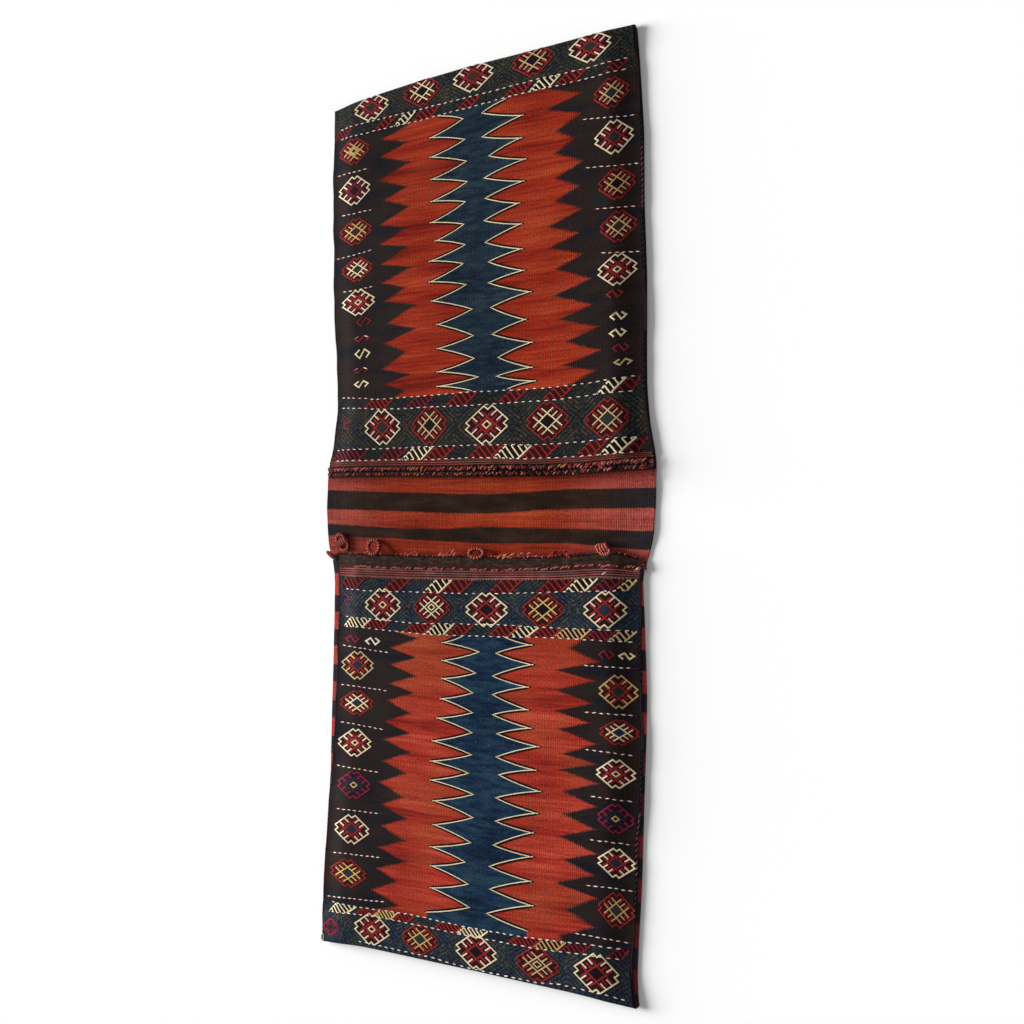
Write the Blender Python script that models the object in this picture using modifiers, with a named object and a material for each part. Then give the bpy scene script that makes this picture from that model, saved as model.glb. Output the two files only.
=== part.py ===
"""Kilim saddle bag lying flat on its back, folded from one woven strip.

Units are metres and +Z is up. X runs across the bag and Y along it: the upper pouch is at +Y, the
lower pouch at -Y, and the striped bridge lies between their mouths. The origin is the middle of the
underside. The strip starts at one mouth, runs out to a fold, back along the floor as the striped
back and bridge, round the other fold, and ends at the other mouth. Trims are yarn: selvedge cords
that close the sides, plaits and cords along the mouths, closing loops, tufts and knots.
"""

import math
from collections import namedtuple

import bmesh
import bpy
from mathutils import Vector

# The strip
HALF_LENGTH = 0.657          # bridge middle to the furthest point of a fold
BRIDGE_WIDTH = 0.560
CLOTH = 0.003                # thickness of the weave
END_DRIFT = 0.0125           # how far the fold ends lie to the left of the bridge's middle
POUCH_GAP = 0.009            # clear height inside a pouch
SIDE_SLOPE = 0.045           # width over which a front comes down to its side seam
FOLD_SIDE_GAP = 0.0035       # clear height inside a fold at the bag's sides
FOLD_EASE = 0.060            # length over which the sides open towards a fold
CLEAR = 0.0003               # gap between pieces that touch
SEAM_CLEAR = 0.0005          # the same along a front's sloping side

# The pouches
UPPER_MOUTH_Y = 0.058
UPPER_MOUTH_SLANT = -0.015   # rise of the mouth's line from the left side to the right
UPPER_NECK_WIDTH = 0.532
UPPER_END_WIDTH = 0.536
UPPER_SHOULDER_START = 0.060
UPPER_SHOULDER_LENGTH = 0.085
UPPER_FOLD_BOW = 0.011       # the middle of the upper fold stands out past its corners
LOWER_MOUTH_Y = -0.076
LOWER_MOUTH_SLANT = -0.012
LOWER_NECK_WIDTH = 0.522
LOWER_END_WIDTH = 0.532
LOWER_SHOULDER_START = 0.045
LOWER_SHOULDER_LENGTH = 0.062
LOWER_FOLD_BOW = -0.004      # the corners of the lower fold stand out past its middle
SEAM_INSET = 0.009           # how far the back's rim shows past a front's edge

# The bridge's stripes, from the upper mouth to the lower one, and the back's stripes past them
BRIDGE_TOP_Y = 0.042
BRIDGE_STRIPES = (0.025, 0.030, 0.020, 0.022, 0.024)
DARK_STRIPE = 0.026
RED_STRIPE = 0.029

# The woven bands of a front
GUARD_BAND = 0.014           # narrow band of slanting combs
MOUTH_BAND = 0.140           # mouth edge to the red field
FOLD_BAND = 0.060            # red field to the fold
SIDE_BAND = 0.160            # half the width of the red field

# Yarn trims
SEAM_CORD_RADIUS = 0.0025
PLAIT_RADIUS = 0.0036
PLAIT_PITCH = 0.014          # length of one plaited link
PLAIT_WAIST = 0.78           # radius between two links, as a share of the full radius
PLAIT_END_INSET = 0.002
EDGE_CORD_RADIUS = 0.0026
OVERCAST_RADIUS = 0.0018
OVERCAST_INSET = 0.012       # from the lower mouth's edge to the overcast row
LOOP_YARN_RADIUS = 0.0024
KNOT_RADIUS = 0.0065
CORNER_LOOP_RADIUS = 0.005
CORNER_YARN_RADIUS = 0.0016
CORNER_INSET = 0.012
TUFT_SIZE = (0.008, 0.0035, 0.003)

# Closing loops: nearest side, distance from it, half width and half length of each
CLOSING_LOOPS = (
    ("closing_loop_1", -1, 0.030, 0.011, 0.015),
    ("closing_loop_2", -1, 0.092, 0.010, 0.013),
    ("closing_loop_3", 1, 0.278, 0.014, 0.010),
    ("closing_loop_4", 1, 0.080, 0.013, 0.011),
)
TUFT_PLACES = (-0.118, -0.050, 0.050, 0.095, 0.140)

# Mesh density
COLUMNS = 20
EDGE_CROWDING = 0.3          # columns crowd towards the bag's sides
FRONT_ROWS = 13
FOLD_ROWS = 5

Pouch = namedtuple(
    "Pouch",
    "name side mouth_y mouth_slant neck_width end_width shoulder_start shoulder_length fold_bow",
)
UPPER = Pouch("upper", 1, UPPER_MOUTH_Y, UPPER_MOUTH_SLANT, UPPER_NECK_WIDTH, UPPER_END_WIDTH,
              UPPER_SHOULDER_START, UPPER_SHOULDER_LENGTH, UPPER_FOLD_BOW)
LOWER = Pouch("lower", -1, LOWER_MOUTH_Y, LOWER_MOUTH_SLANT, LOWER_NECK_WIDTH, LOWER_END_WIDTH,
              LOWER_SHOULDER_START, LOWER_SHOULDER_LENGTH, LOWER_FOLD_BOW)

COLOURS = {
    "field_red": (0.39, 0.05, 0.02),
    "ground_navy": (0.016, 0.024, 0.034),
    "guard_wine": (0.14, 0.025, 0.025),
    "stripe_red": (0.37, 0.05, 0.025),
    "stripe_brown": (0.022, 0.012, 0.009),
    "selvedge_wool": (0.020, 0.014, 0.016),
    "plait_wool": (0.35, 0.10, 0.05),
    "edge_wool": (0.42, 0.11, 0.05),
    "overcast_wool": (0.45, 0.15, 0.12),
    "loop_wool": (0.36, 0.09, 0.06),
}


def clear_scene():
    for obj in list(bpy.data.objects):
        bpy.data.objects.remove(obj, do_unlink=True)


def wool(name):
    material = bpy.data.materials.new(name)
    material.use_nodes = True
    shader = material.node_tree.nodes["Principled BSDF"]
    shader.inputs["Base Color"].default_value = (*COLOURS[name], 1.0)
    shader.inputs["Roughness"].default_value = 0.9
    shader.inputs["Metallic"].default_value = 0.0
    return material


def smooth(t):
    t = min(max(t, 0.0), 1.0)
    return t * t * (3.0 - 2.0 * t)


def mix(a, b, t):
    return a + (b - a) * t


# The bag's plan


def centre_x(y):
    return -END_DRIFT * abs(y / HALF_LENGTH) ** 3


def back_half(y):
    """Half the width of the back and bridge at y."""
    pouch = UPPER if y >= 0 else LOWER
    mouth = abs(pouch.mouth_y)
    width = mix(pouch.neck_width, pouch.end_width, (abs(y) - mouth) / (HALF_LENGTH - mouth))
    narrowing = smooth((abs(y) - pouch.shoulder_start) / pouch.shoulder_length)
    return mix(BRIDGE_WIDTH, width, narrowing) / 2


def front_half(y):
    return back_half(y) - SEAM_INSET


def mouth_y(pouch, x):
    return pouch.mouth_y + pouch.mouth_slant * x / BRIDGE_WIDTH


def fold_reach(pouch, v):
    """Distance from the bridge's middle to the outside of the fold, at v from -1 to 1 across."""
    sag = v * v if pouch.fold_bow > 0 else 1 - v * v
    return HALF_LENGTH - abs(pouch.fold_bow) * sag


# The bag's height


def layer_gap(pouch, v, y):
    """Height of a front's middle surface above the back's."""
    half = front_half(y)
    rise = smooth(half * (1 - abs(v)) / SIDE_SLOPE)
    to_fold = 1 - smooth((fold_reach(pouch, v) - abs(y)) / FOLD_EASE)
    at_side = CLOTH + mix(CLEAR, FOLD_SIDE_GAP, to_fold)
    return mix(at_side, CLOTH + POUCH_GAP, rise)


def fold_start(pouch, v):
    """Radius of the fold's middle surface and the distance at which the fold begins."""
    radius = layer_gap(pouch, v, fold_reach(pouch, v) * pouch.side) / 2
    return radius, fold_reach(pouch, v) - CLOTH / 2 - radius


def across(column):
    """Place of a column, from -1 at the left side to 1 at the right."""
    s = 2 * column / COLUMNS - 1
    return s * (1 + EDGE_CROWDING - EDGE_CROWDING * s * s)


def front_point(pouch, v, t):
    """Point of a front's middle surface, t from 0 at the mouth to 1 where the fold begins."""
    mouth = mouth_y(pouch, v * front_half(pouch.mouth_y))
    y = mix(mouth, pouch.side * fold_start(pouch, v)[1], t)
    return Vector((centre_x(y) + v * front_half(y), y, CLOTH / 2 + layer_gap(pouch, v, y)))


def fold_point(pouch, v, t):
    """Point of a fold's middle surface, t from 0 at the front to 1 at the back."""
    radius, start = fold_start(pouch, v)
    y = pouch.side * start
    half = mix(front_half(y), back_half(y), t)
    angle = math.pi * t
    return Vector((
        centre_x(y) + v * half,
        y + pouch.side * radius * math.sin(angle),
        CLOTH / 2 + radius * (1 + math.cos(angle)),
    ))


def back_point(v, y):
    """Point of the back's middle surface, with y named at the middle of the width."""
    pouch = UPPER if y >= 0 else LOWER
    y *= fold_start(pouch, v)[1] / fold_start(pouch, 0.0)[1]
    return Vector((centre_x(y) + v * back_half(y), y, CLOTH / 2))


def row_share(row):
    """Rows of a front crowd towards its mouth and its fold."""
    return (1 - math.cos(math.pi * row / FRONT_ROWS)) / 2


def stripe_edges():
    """Edges of the back's stripes from the upper fold to the lower one, and each stripe's colour."""
    top = fold_start(UPPER, 0.0)[1]
    bottom = -fold_start(LOWER, 0.0)[1]
    edges = [BRIDGE_TOP_Y]
    colours = []
    for index, width in enumerate(BRIDGE_STRIPES):
        edges.append(edges[-1] - width)
        colours.append("stripe_red" if index % 2 == 0 else "stripe_brown")
    widths = (DARK_STRIPE, RED_STRIPE)
    count = 0
    while edges[0] + widths[count % 2] < top - CLOTH:
        edges.insert(0, edges[0] + widths[count % 2])
        colours.insert(0, ("stripe_brown", "stripe_red")[count % 2])
        count += 1
    edges.insert(0, top)
    colours.insert(0, ("stripe_brown", "stripe_red")[count % 2])
    count = 0
    while edges[-1] - widths[count % 2] > bottom + CLOTH:
        edges.append(edges[-1] - widths[count % 2])
        colours.append(("stripe_brown", "stripe_red")[count % 2])
        count += 1
    edges.append(bottom)
    colours.append(("stripe_brown", "stripe_red")[count % 2])
    return edges, colours


def front_colour(pouch, point):
    """Colour field of a front: a red field inside dark borders edged by wine guards."""
    from_mouth = abs(point.y) - abs(mouth_y(pouch, point.x))
    to_fold = HALF_LENGTH - abs(point.y)
    if from_mouth < GUARD_BAND or abs(from_mouth - MOUTH_BAND) < GUARD_BAND / 2:
        return "guard_wine"
    if from_mouth < MOUTH_BAND or to_fold < FOLD_BAND:
        return "ground_navy"
    return "field_red" if abs(point.x - centre_x(point.y)) < SIDE_BAND else "ground_navy"


def build_cloth():
    """The woven strip: a grid bent into front, fold, back, fold and front, then thickened."""
    edges, stripe_colours = stripe_edges()
    stations = []
    for row in range(FRONT_ROWS):
        stations.append((lambda v, t=row_share(row): front_point(UPPER, v, t), UPPER))
    for row in range(FOLD_ROWS):
        stations.append((lambda v, t=row / FOLD_ROWS: fold_point(UPPER, v, t), UPPER))
    for edge, colour in zip(edges, stripe_colours):
        stations.append((lambda v, y=edge: back_point(v, y), colour))
    for row in range(FOLD_ROWS):
        stations.append((lambda v, t=1 - row / FOLD_ROWS: fold_point(LOWER, v, t), LOWER))
    for row in range(FRONT_ROWS + 1):
        stations.append((lambda v, t=row_share(FRONT_ROWS - row): front_point(LOWER, v, t), LOWER))

    mesh = bmesh.new()
    bmesh.ops.create_grid(mesh, x_segments=COLUMNS, y_segments=len(stations) - 1, size=1.0)
    names = list(COLOURS)
    last = len(stations) - 1
    for face in mesh.faces:
        station = round((1 - face.calc_center_median().y) / 2 * last - 0.5)
        face.material_index = station
    for vertex in mesh.verts:
        column = round((vertex.co.x + 1) / 2 * COLUMNS)
        station = round((1 - vertex.co.y) / 2 * last)
        vertex.co = stations[station][0](across(column))
    for face in mesh.faces:
        owner = stations[face.material_index][1]
        if isinstance(owner, Pouch):
            owner = front_colour(owner, face.calc_center_median())
        face.material_index = names.index(owner)
    data = bpy.data.meshes.new("woven_cloth")
    mesh.to_mesh(data)
    mesh.free()
    for name in names:
        data.materials.append(bpy.data.materials[name])
    cloth = bpy.data.objects.new("woven_cloth", data)
    solid = cloth.modifiers.new("weave thickness", "SOLIDIFY")
    solid.thickness = CLOTH
    solid.offset = 0.0
    return cloth


# Yarn trims


def yarn(name, points, radius, material, shares=None, closed=False):
    """A cord along the points; shares scale its radius point by point."""
    curve = bpy.data.curves.new(name, "CURVE")
    curve.dimensions = "3D"
    curve.bevel_depth = radius
    curve.bevel_resolution = 1
    curve.use_fill_caps = True
    spline = curve.splines.new("POLY")
    spline.points.add(len(points) - 1)
    for index, (node, point) in enumerate(zip(spline.points, points)):
        node.co = (*point, 1.0)
        node.radius = shares[index] if shares else 1.0
    spline.use_cyclic_u = closed
    curve.materials.append(bpy.data.materials[material])
    return bpy.data.objects.new(name, curve)


def side_seam(pouch, hand):
    """Selvedge cord that lies on the back's rim against a front's edge; hand is -1 left, 1 right."""
    points = []
    for row in range(FRONT_ROWS + 1):
        edge = front_point(pouch, hand, row_share(row))
        edge.x += hand * (SEAM_CLEAR + SEAM_CORD_RADIUS)
        edge.z = CLOTH + CLEAR + SEAM_CORD_RADIUS
        points.append(edge)
    points[-1].y -= pouch.side * SEAM_CORD_RADIUS
    side = "left" if hand < 0 else "right"
    return yarn(f"side_seam_{pouch.name}_{side}", points, SEAM_CORD_RADIUS, "selvedge_wool")


def mouth_rest(pouch, x, offset, radius):
    """Centre of a cord whose underside is level with the front's, offset beyond the mouth's edge."""
    y = mouth_y(pouch, x)
    v = min(max(x / front_half(y), -1.0), 1.0)
    return Vector((x, y - pouch.side * offset, layer_gap(pouch, v, y) + radius))


def mouth_plait(row):
    """One of the two plaits sewn along the upper mouth; row 0 lies against the cloth."""
    reach = BRIDGE_WIDTH / 2 - PLAIT_END_INSET
    offset = CLEAR + PLAIT_RADIUS + row * (2 * PLAIT_RADIUS + CLEAR)
    count = 2 * round(2 * reach / PLAIT_PITCH)
    points = [mouth_rest(UPPER, reach * (2 * i / count - 1), offset, PLAIT_RADIUS)
              for i in range(count + 1)]
    shares = [1.0 if i % 2 else PLAIT_WAIST for i in range(count + 1)]
    return yarn(f"upper_mouth_plait_{row + 1}", points, PLAIT_RADIUS, "plait_wool", shares)


def edge_cord():
    """Twisted cord along the lower mouth's edge."""
    offset = CLEAR + EDGE_CORD_RADIUS
    points = [mouth_rest(LOWER, front_point(LOWER, across(column), 0.0).x, offset, EDGE_CORD_RADIUS)
              for column in range(COLUMNS + 1)]
    return yarn("lower_mouth_edge_cord", points, EDGE_CORD_RADIUS, "edge_wool")


def overcast_row():
    """Row of slanting stitches that lies on the lower front, inside its mouth."""
    lift = CLOTH / 2 + CLEAR + OVERCAST_RADIUS
    length = abs(fold_start(LOWER, 0.0)[1]) - abs(LOWER.mouth_y)
    points = []
    for column in range(COLUMNS + 1):
        point = front_point(LOWER, across(column), OVERCAST_INSET / length)
        points.append(point + Vector((0.0, 0.0, lift)))
    return yarn("lower_mouth_overcast_row", points, OVERCAST_RADIUS, "overcast_wool")


def ring(name, centre, half_width, half_length, yarn_radius, material, tilt=0.0):
    """An oval loop of yarn, tilted about X."""
    bpy.ops.mesh.primitive_torus_add(
        major_segments=16, minor_segments=6, major_radius=half_length, minor_radius=yarn_radius)
    loop = bpy.context.object
    loop.name = name
    for vertex in loop.data.vertices:
        vertex.co.x *= half_width / half_length
    loop.location = centre
    loop.rotation_euler.x = tilt
    loop.data.materials.append(bpy.data.materials[material])
    return loop


def closing_loop(name, hand, from_side, half_width, half_length):
    """Loop that hangs from the lower mouth's edge cord and comes to rest on the bridge."""
    x = hand * (BRIDGE_WIDTH / 2 - from_side)
    cord = mouth_rest(LOWER, x, CLEAR + EDGE_CORD_RADIUS, EDGE_CORD_RADIUS)
    low = CLOTH + CLEAR + LOOP_YARN_RADIUS
    near = cord.y + EDGE_CORD_RADIUS + 2 * CLEAR + LOOP_YARN_RADIUS
    tilt = -math.asin(min((cord.z - low) / (2 * half_length), 0.9))
    centre = Vector((x, near + half_length * math.cos(tilt), (cord.z + low) / 2))
    return ring(name, centre, half_width, half_length, LOOP_YARN_RADIUS, "loop_wool", tilt)


def tuft(index, x):
    """Frayed yarn standing on the lower mouth's edge cord."""
    cord = mouth_rest(LOWER, x, CLEAR + EDGE_CORD_RADIUS, EDGE_CORD_RADIUS)
    bpy.ops.mesh.primitive_ico_sphere_add(subdivisions=2, radius=1.0)
    piece = bpy.context.object
    piece.name = f"edge_tuft_{index}"
    for vertex in piece.data.vertices:
        vertex.co = Vector(a * b for a, b in zip(vertex.co, TUFT_SIZE))
    piece.location = cord + Vector((0.0, 0.0, EDGE_CORD_RADIUS + CLEAR + TUFT_SIZE[2]))
    piece.data.materials.append(bpy.data.materials["edge_wool"])
    return piece


def knot(name, centre, radius):
    bpy.ops.mesh.primitive_ico_sphere_add(subdivisions=2, radius=radius, location=centre)
    piece = bpy.context.object
    piece.name = name
    piece.data.materials.append(bpy.data.materials["loop_wool"])
    return piece


def side_knot():
    """Knot of leftover yarn at the left end of the lower mouth, resting on the bridge."""
    end = front_point(LOWER, -1.0, 0.0)
    return knot("side_knot", Vector((
        end.x - CLEAR - KNOT_RADIUS,
        end.y + 2 * CLEAR + KNOT_RADIUS,
        CLOTH + CLEAR + KNOT_RADIUS,
    )), KNOT_RADIUS)


def corner_loop(pouch, hand, name):
    """Small loop of yarn lying on a front at a fold's corner."""
    half = front_half(pouch.side * HALF_LENGTH)
    reach = CORNER_LOOP_RADIUS + CORNER_YARN_RADIUS
    highest = front_point(pouch, hand * (1 - (CORNER_INSET + reach) / half), 1.0)
    centre = Vector((
        highest.x + hand * reach,
        highest.y - pouch.side * reach,
        highest.z + CLOTH / 2 + CLEAR + CORNER_YARN_RADIUS,
    ))
    return ring(name, centre, CORNER_LOOP_RADIUS, CORNER_LOOP_RADIUS, CORNER_YARN_RADIUS,
                "loop_wool")


def build():
    clear_scene()
    for name in COLOURS:
        wool(name)
    bag = bpy.data.collections.new("kilim_saddle_bag")
    bpy.context.scene.collection.children.link(bag)
    pieces = [build_cloth()]
    for pouch in (UPPER, LOWER):
        for hand in (-1, 1):
            pieces.append(side_seam(pouch, hand))
    pieces.extend(mouth_plait(row) for row in range(2))
    pieces.append(edge_cord())
    pieces.append(overcast_row())
    pieces.extend(closing_loop(*loop) for loop in CLOSING_LOOPS)
    pieces.extend(tuft(index, x) for index, x in enumerate(TUFT_PLACES, start=1))
    pieces.append(side_knot())
    pieces.append(corner_loop(LOWER, -1, "corner_loop"))
    for piece in pieces:
        for owner in piece.users_collection:
            owner.objects.unlink(piece)
        bag.objects.link(piece)
        if piece.type == "MESH":
            piece.data.shade_smooth()
            piece.data.set_sharp_from_angle(angle=math.radians(40))


build()
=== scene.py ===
import math
import random

import bpy
import numpy as np
from mathutils import Matrix, Vector


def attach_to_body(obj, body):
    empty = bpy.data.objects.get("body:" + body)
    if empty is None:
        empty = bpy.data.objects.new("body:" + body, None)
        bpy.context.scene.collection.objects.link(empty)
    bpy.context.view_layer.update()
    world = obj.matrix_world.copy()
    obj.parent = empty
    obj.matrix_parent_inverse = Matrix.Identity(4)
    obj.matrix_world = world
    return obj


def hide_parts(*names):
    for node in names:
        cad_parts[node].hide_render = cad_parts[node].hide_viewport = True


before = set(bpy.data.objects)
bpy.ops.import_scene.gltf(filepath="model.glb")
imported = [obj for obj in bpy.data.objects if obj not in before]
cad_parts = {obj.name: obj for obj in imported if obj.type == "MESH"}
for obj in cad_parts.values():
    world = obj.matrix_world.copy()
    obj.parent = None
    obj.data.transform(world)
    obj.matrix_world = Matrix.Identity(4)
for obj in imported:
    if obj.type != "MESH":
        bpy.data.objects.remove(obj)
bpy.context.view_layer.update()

random.seed(11)

# Lengths in the tables are millimetres on the bag as it lies: x to the right, y towards the upper
# pouch, measured from a point 10 mm left of and 5 mm below the part's origin.
SHIFT = (-10.0, -5.0)
CLOTH = 3.0
HALF_CLOTH = CLOTH / 2
POUCH_GAP = 9.0
SIDE_SLOPE = 45.0
SIDE_GAP = 0.3
FOLD_SIDE_GAP = 3.5
FOLD_EASE = 60.0
COLUMNS = 96
# Shares of the way from the left side to the right, one for each column of points
ACROSS = (np.linspace(-1.0, 1.0, COLUMNS + 1) + 1) / 2

# The tables give places as the camera sees them on the plane of the bag's edges. A front's face is
# higher than that plane, so what lies on it is nearer the camera's foot than the tables say. EYE is
# the camera's place, its height taken from that plane.
EYE = (879.0, -130.0, 1334.0)
EDGE_LIFT = 2.3
FACE_LIFT = 8.7

LEFT_EDGE = (
    (660, -267), (600, -267), (500, -267), (450, -266), (400, -264), (350, -262), (300, -260),
    (250, -256), (200, -252), (150, -251), (100, -259), (75, -269), (0, -271), (-30, -269),
    (-60, -263), (-70, -258), (-100, -253), (-150, -253), (-250, -254), (-300, -255), (-400, -256),
    (-500, -263), (-550, -267), (-600, -267), (-660, -268),
)
RIGHT_EDGE = (
    (660, 264), (600, 269), (500, 275), (400, 275), (300, 278), (200, 277), (150, 277),
    (100, 281), (75, 286), (50, 290), (0, 289), (-50, 285), (-75, 278), (-100, 269), (-150, 271),
    (-250, 274), (-300, 273), (-400, 269), (-500, 265), (-550, 261), (-600, 258), (-640, 260),
    (-660, 263),
)

# How far each front's sides lie inside the back's, at several y: (y, left, right)
FRONT_INSETS = (
    (660, 3.4, 3.4), (0, 3.4, 3.4), (-60, 10.0, 3.4), (-80, 13.5, 3.4), (-100, 13.5, 3.4),
    (-125, 13.5, 4.5), (-165, 13.5, 7.0), (-270, 13.0, 7.5),
    (-330, 10.0, 5.0), (-400, 7.0, 5.0), (-450, 5.5, 7.6), (-600, 5.5, 7.6), (-660, 5.5, 5.5),
)

# Lines woven across each front from its mouth to its fold, as (x, y) points. The fold is last.
UPPER_LINES = (
    ((-268, 74), (-188, 71.5), (-104, 67), (-25, 62.5), (51, 60), (123, 55.5), (192, 55), (289, 56)),
    ((-270, 84), (-197, 81), (-132, 78), (-74, 74.5), (0, 72.5), (48, 69), (83, 65.5), (176, 63),
     (280, 63)),
    ((-270, 100), (-188, 98), (-105, 95), (-50, 93), (0, 91), (65, 87), (93, 84), (167, 82.5),
     (280, 84)),
    ((-260, 168), (-240, 166), (-169, 158), (-113, 155), (-50, 152), (0, 149), (60, 147.5),
     (130, 145), (280, 146)),
    ((-260, 184), (-240, 182), (-169, 173.5), (-40, 170), (0, 169), (60, 166), (120, 163),
     (190, 163), (274, 167)),
    ((-268, 602), (-220, 602), (-135, 601), (0, 598), (60, 599), (139, 596), (200, 595),
     (268, 592)),
    ((-268, 616), (-60, 616), (0, 614), (120, 613), (210, 610), (268, 608)),
    ((-268, 651), (-200, 656), (-100, 659), (0, 659), (75, 656), (150, 654), (264, 652)),
)
LOWER_LINES = (
    ((-253, -63), (-185, -66), (-102, -70), (0, -72), (52, -75), (123, -75.5), (175, -73.5),
     (225, -71), (257, -77), (280, -85)),
    ((-250, -96.5), (-132, -101), (0, -104.5), (150, -105), (200, -102.5), (268, -105)),
    ((-250, -115), (-180, -120), (-76, -122.5), (0, -124.5), (55, -124), (165, -121.5),
     (260, -120)),
    ((-250, -158), (-161, -163), (-100, -168), (0, -168), (52, -167.5), (100, -170), (256, -173)),
    ((-250, -173), (-193, -176), (-105, -182), (-60, -184), (60, -185), (140, -184), (258, -188)),
    ((-265, -590), (-105, -589), (15, -592), (100, -590), (198, -585), (262, -582)),
    ((-265, -607), (-215, -603), (-165, -601), (10, -603.5), (120, -602), (198, -598), (264, -596)),
    ((-268, -652), (-190, -646), (0, -647), (178, -649), (265, -654)),
)

# Teeth of the fields, as (y, x) points: the outline of the blue, then the edge of the red
UPPER_BLUE_LEFT = (
    (598, -62), (584, -18), (568, -78), (552, -15), (537, -77), (518, -12), (502, -75),
    (486, -10), (468, -75), (456, -13), (435, -75), (422, -15), (405, -65), (390, -12),
    (375, -75), (362, -15), (343, -75),
    (330, -10), (313, -70), (292, 0), (276, -60), (252, 3), (240, -60), (218, 5), (205, -60),
    (190, 12), (183, -60), (171, 0),
)
UPPER_BLUE_RIGHT = (
    (596, 56), (585, 15), (565, 85), (549, 15), (532, 83), (517, 28), (499, 90), (485, 20), (467, 87),
    (454, 22), (436, 80), (421, 20), (405, 83), (388, 22), (368, 85), (358, 28), (336, 88),
    (327, 28), (304, 98), (290, 32), (265, 90), (250, 35), (231, 100), (215, 45), (195, 100),
    (188, 42), (175, 105), (168, 60),
)
UPPER_RED_LEFT = (
    (598, -120), (585, -170), (571, -122), (557, -172), (538, -115), (520, -175), (500, -120),
    (487, -165), (468, -115), (448, -172), (435, -118), (416, -170), (405, -115), (385, -168),
    (372, -110), (355, -165), (342, -120), (325, -160), (312, -100), (290, -155), (275, -98),
    (260, -160), (242, -118), (220, -165), (207, -110), (196, -160), (183, -120), (173, -160),
)
UPPER_RED_RIGHT = (
    (596, 125), (577, 178), (565, 125), (547, 178), (530, 140), (513, 168), (497, 138), (477, 183),
    (460, 140), (442, 177), (427, 140), (409, 182), (392, 128), (376, 175), (362, 130), (345, 180),
    (330, 140), (308, 195), (293, 135), (272, 197), (258, 145), (240, 205), (225, 155), (207, 208),
    (192, 150), (180, 200), (164, 160),
)
LOWER_BLUE_LEFT = (
    (-184, -12), (-195, -48), (-207, 15), (-221, -48), (-237, 10), (-247, -48), (-265, 5),
    (-276, -50), (-293, 5), (-304, -55), (-321, 5), (-337, -62), (-352, 5), (-366, -65), (-378, 0),
    (-393, -65), (-407, 8), (-422, -60), (-439, 8), (-456, -60), (-474, 5), (-488, -65),
    (-502, -5), (-515, -65), (-532, 0), (-546, -65), (-564, 2), (-581, -72),
)
LOWER_BLUE_RIGHT = (
    (-184, 55), (-195, 100), (-208, 43), (-222, 102), (-240, 38), (-253, 95), (-266, 38),
    (-284, 95), (-294, 38), (-309, 100), (-320, 45), (-333, 112), (-352, 45), (-365, 108),
    (-376, 50), (-393, 115), (-408, 45), (-423, 110), (-440, 45), (-450, 103), (-473, 42),
    (-482, 102), (-503, 35), (-515, 100), (-534, 35), (-547, 103), (-568, 30), (-581, 95),
)
LOWER_RED_LEFT = (
    (-180, -135), (-190, -90), (-205, -140), (-218, -95), (-230, -140), (-245, -95), (-258, -142),
    (-270, -98), (-283, -145), (-300, -105), (-315, -150), (-329, -105), (-341, -152),
    (-357, -105), (-373, -155), (-388, -110), (-404, -160), (-423, -115), (-437, -155),
    (-453, -108), (-468, -155), (-485, -110), (-500, -160), (-515, -110), (-530, -160),
    (-545, -125), (-563, -170), (-580, -120), (-589, -160),
)
LOWER_RED_RIGHT = (
    (-186, 205), (-198, 160), (-215, 205), (-228, 140), (-240, 200), (-255, 140), (-270, 195),
    (-283, 140), (-296, 190), (-307, 145), (-323, 200), (-340, 150), (-350, 203), (-361, 145),
    (-375, 203), (-390, 150), (-405, 200), (-420, 150), (-435, 198), (-450, 145), (-467, 200),
    (-480, 150), (-495, 195), (-512, 140), (-524, 200), (-545, 155), (-562, 195), (-580, 145),
    (-589, 190),
)

# Slanting combs in the guard bands: line numbers below and above, then (left x, right x, colour)
UPPER_GUARDS = (
    (1, 2, ((-262, -190, "wine"), (-171, -117, "wine"), (-126, -69, "cream"), (-84, -28, "red"),
            (-5, 55, "red"), (39, 102, "cream"), (85, 146, "red"), (172, 221, "red"),
            (209, 263, "cream"), (243, 290, "wine"))),
    (3, 4, ((-200, -143, "red"), (-119, -67, "wine"), (-45, 10, "red"), (44, 94, "red"),
            (118, 168, "red"), (204, 249, "cream"), (231, 280, "wine"))),
    (5, 6, ((-270, -228, "wine"), (-185, -143, "red"), (-147, -107, "cream"), (-113, -60, "red"),
            (-28, 14, "red"), (54, 103, "red"), (97, 147, "cream"), (139, 188, "red"),
            (214, 256, "wine"))),
)
LOWER_GUARDS = (
    (2, 1, ((-248, -190, "wine"), (-158, -106, "red"), (-82, -32, "cream"), (-52, 5, "red"),
            (31, 87, "red"), (111, 167, "red"), (154, 204, "cream"), (194, 244, "wine"),
            (230, 268, "yellow"))),
    (4, 3, ((-232, -179, "cream"), (-195, -143, "red"), (-117, -66, "red"), (-78, -30, "cream"),
            (-40, 5, "red"), (30, 83, "red"), (63, 113, "cream"), (101, 151, "red"),
            (137, 194, "ochre"), (185, 232, "wine"), (220, 262, "beige"))),
    (6, 5, ((-253, -200, "cream"), (-201, -161, "red"), (-169, -125, "yellow"),
            (-133, -94, "red"), (-60, -10, "red"), (-20, 32, "cream"), (67, 117, "red"),
            (105, 155, "ochre"), (147, 192, "wine"), (216, 254, "wine"))),
)

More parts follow.
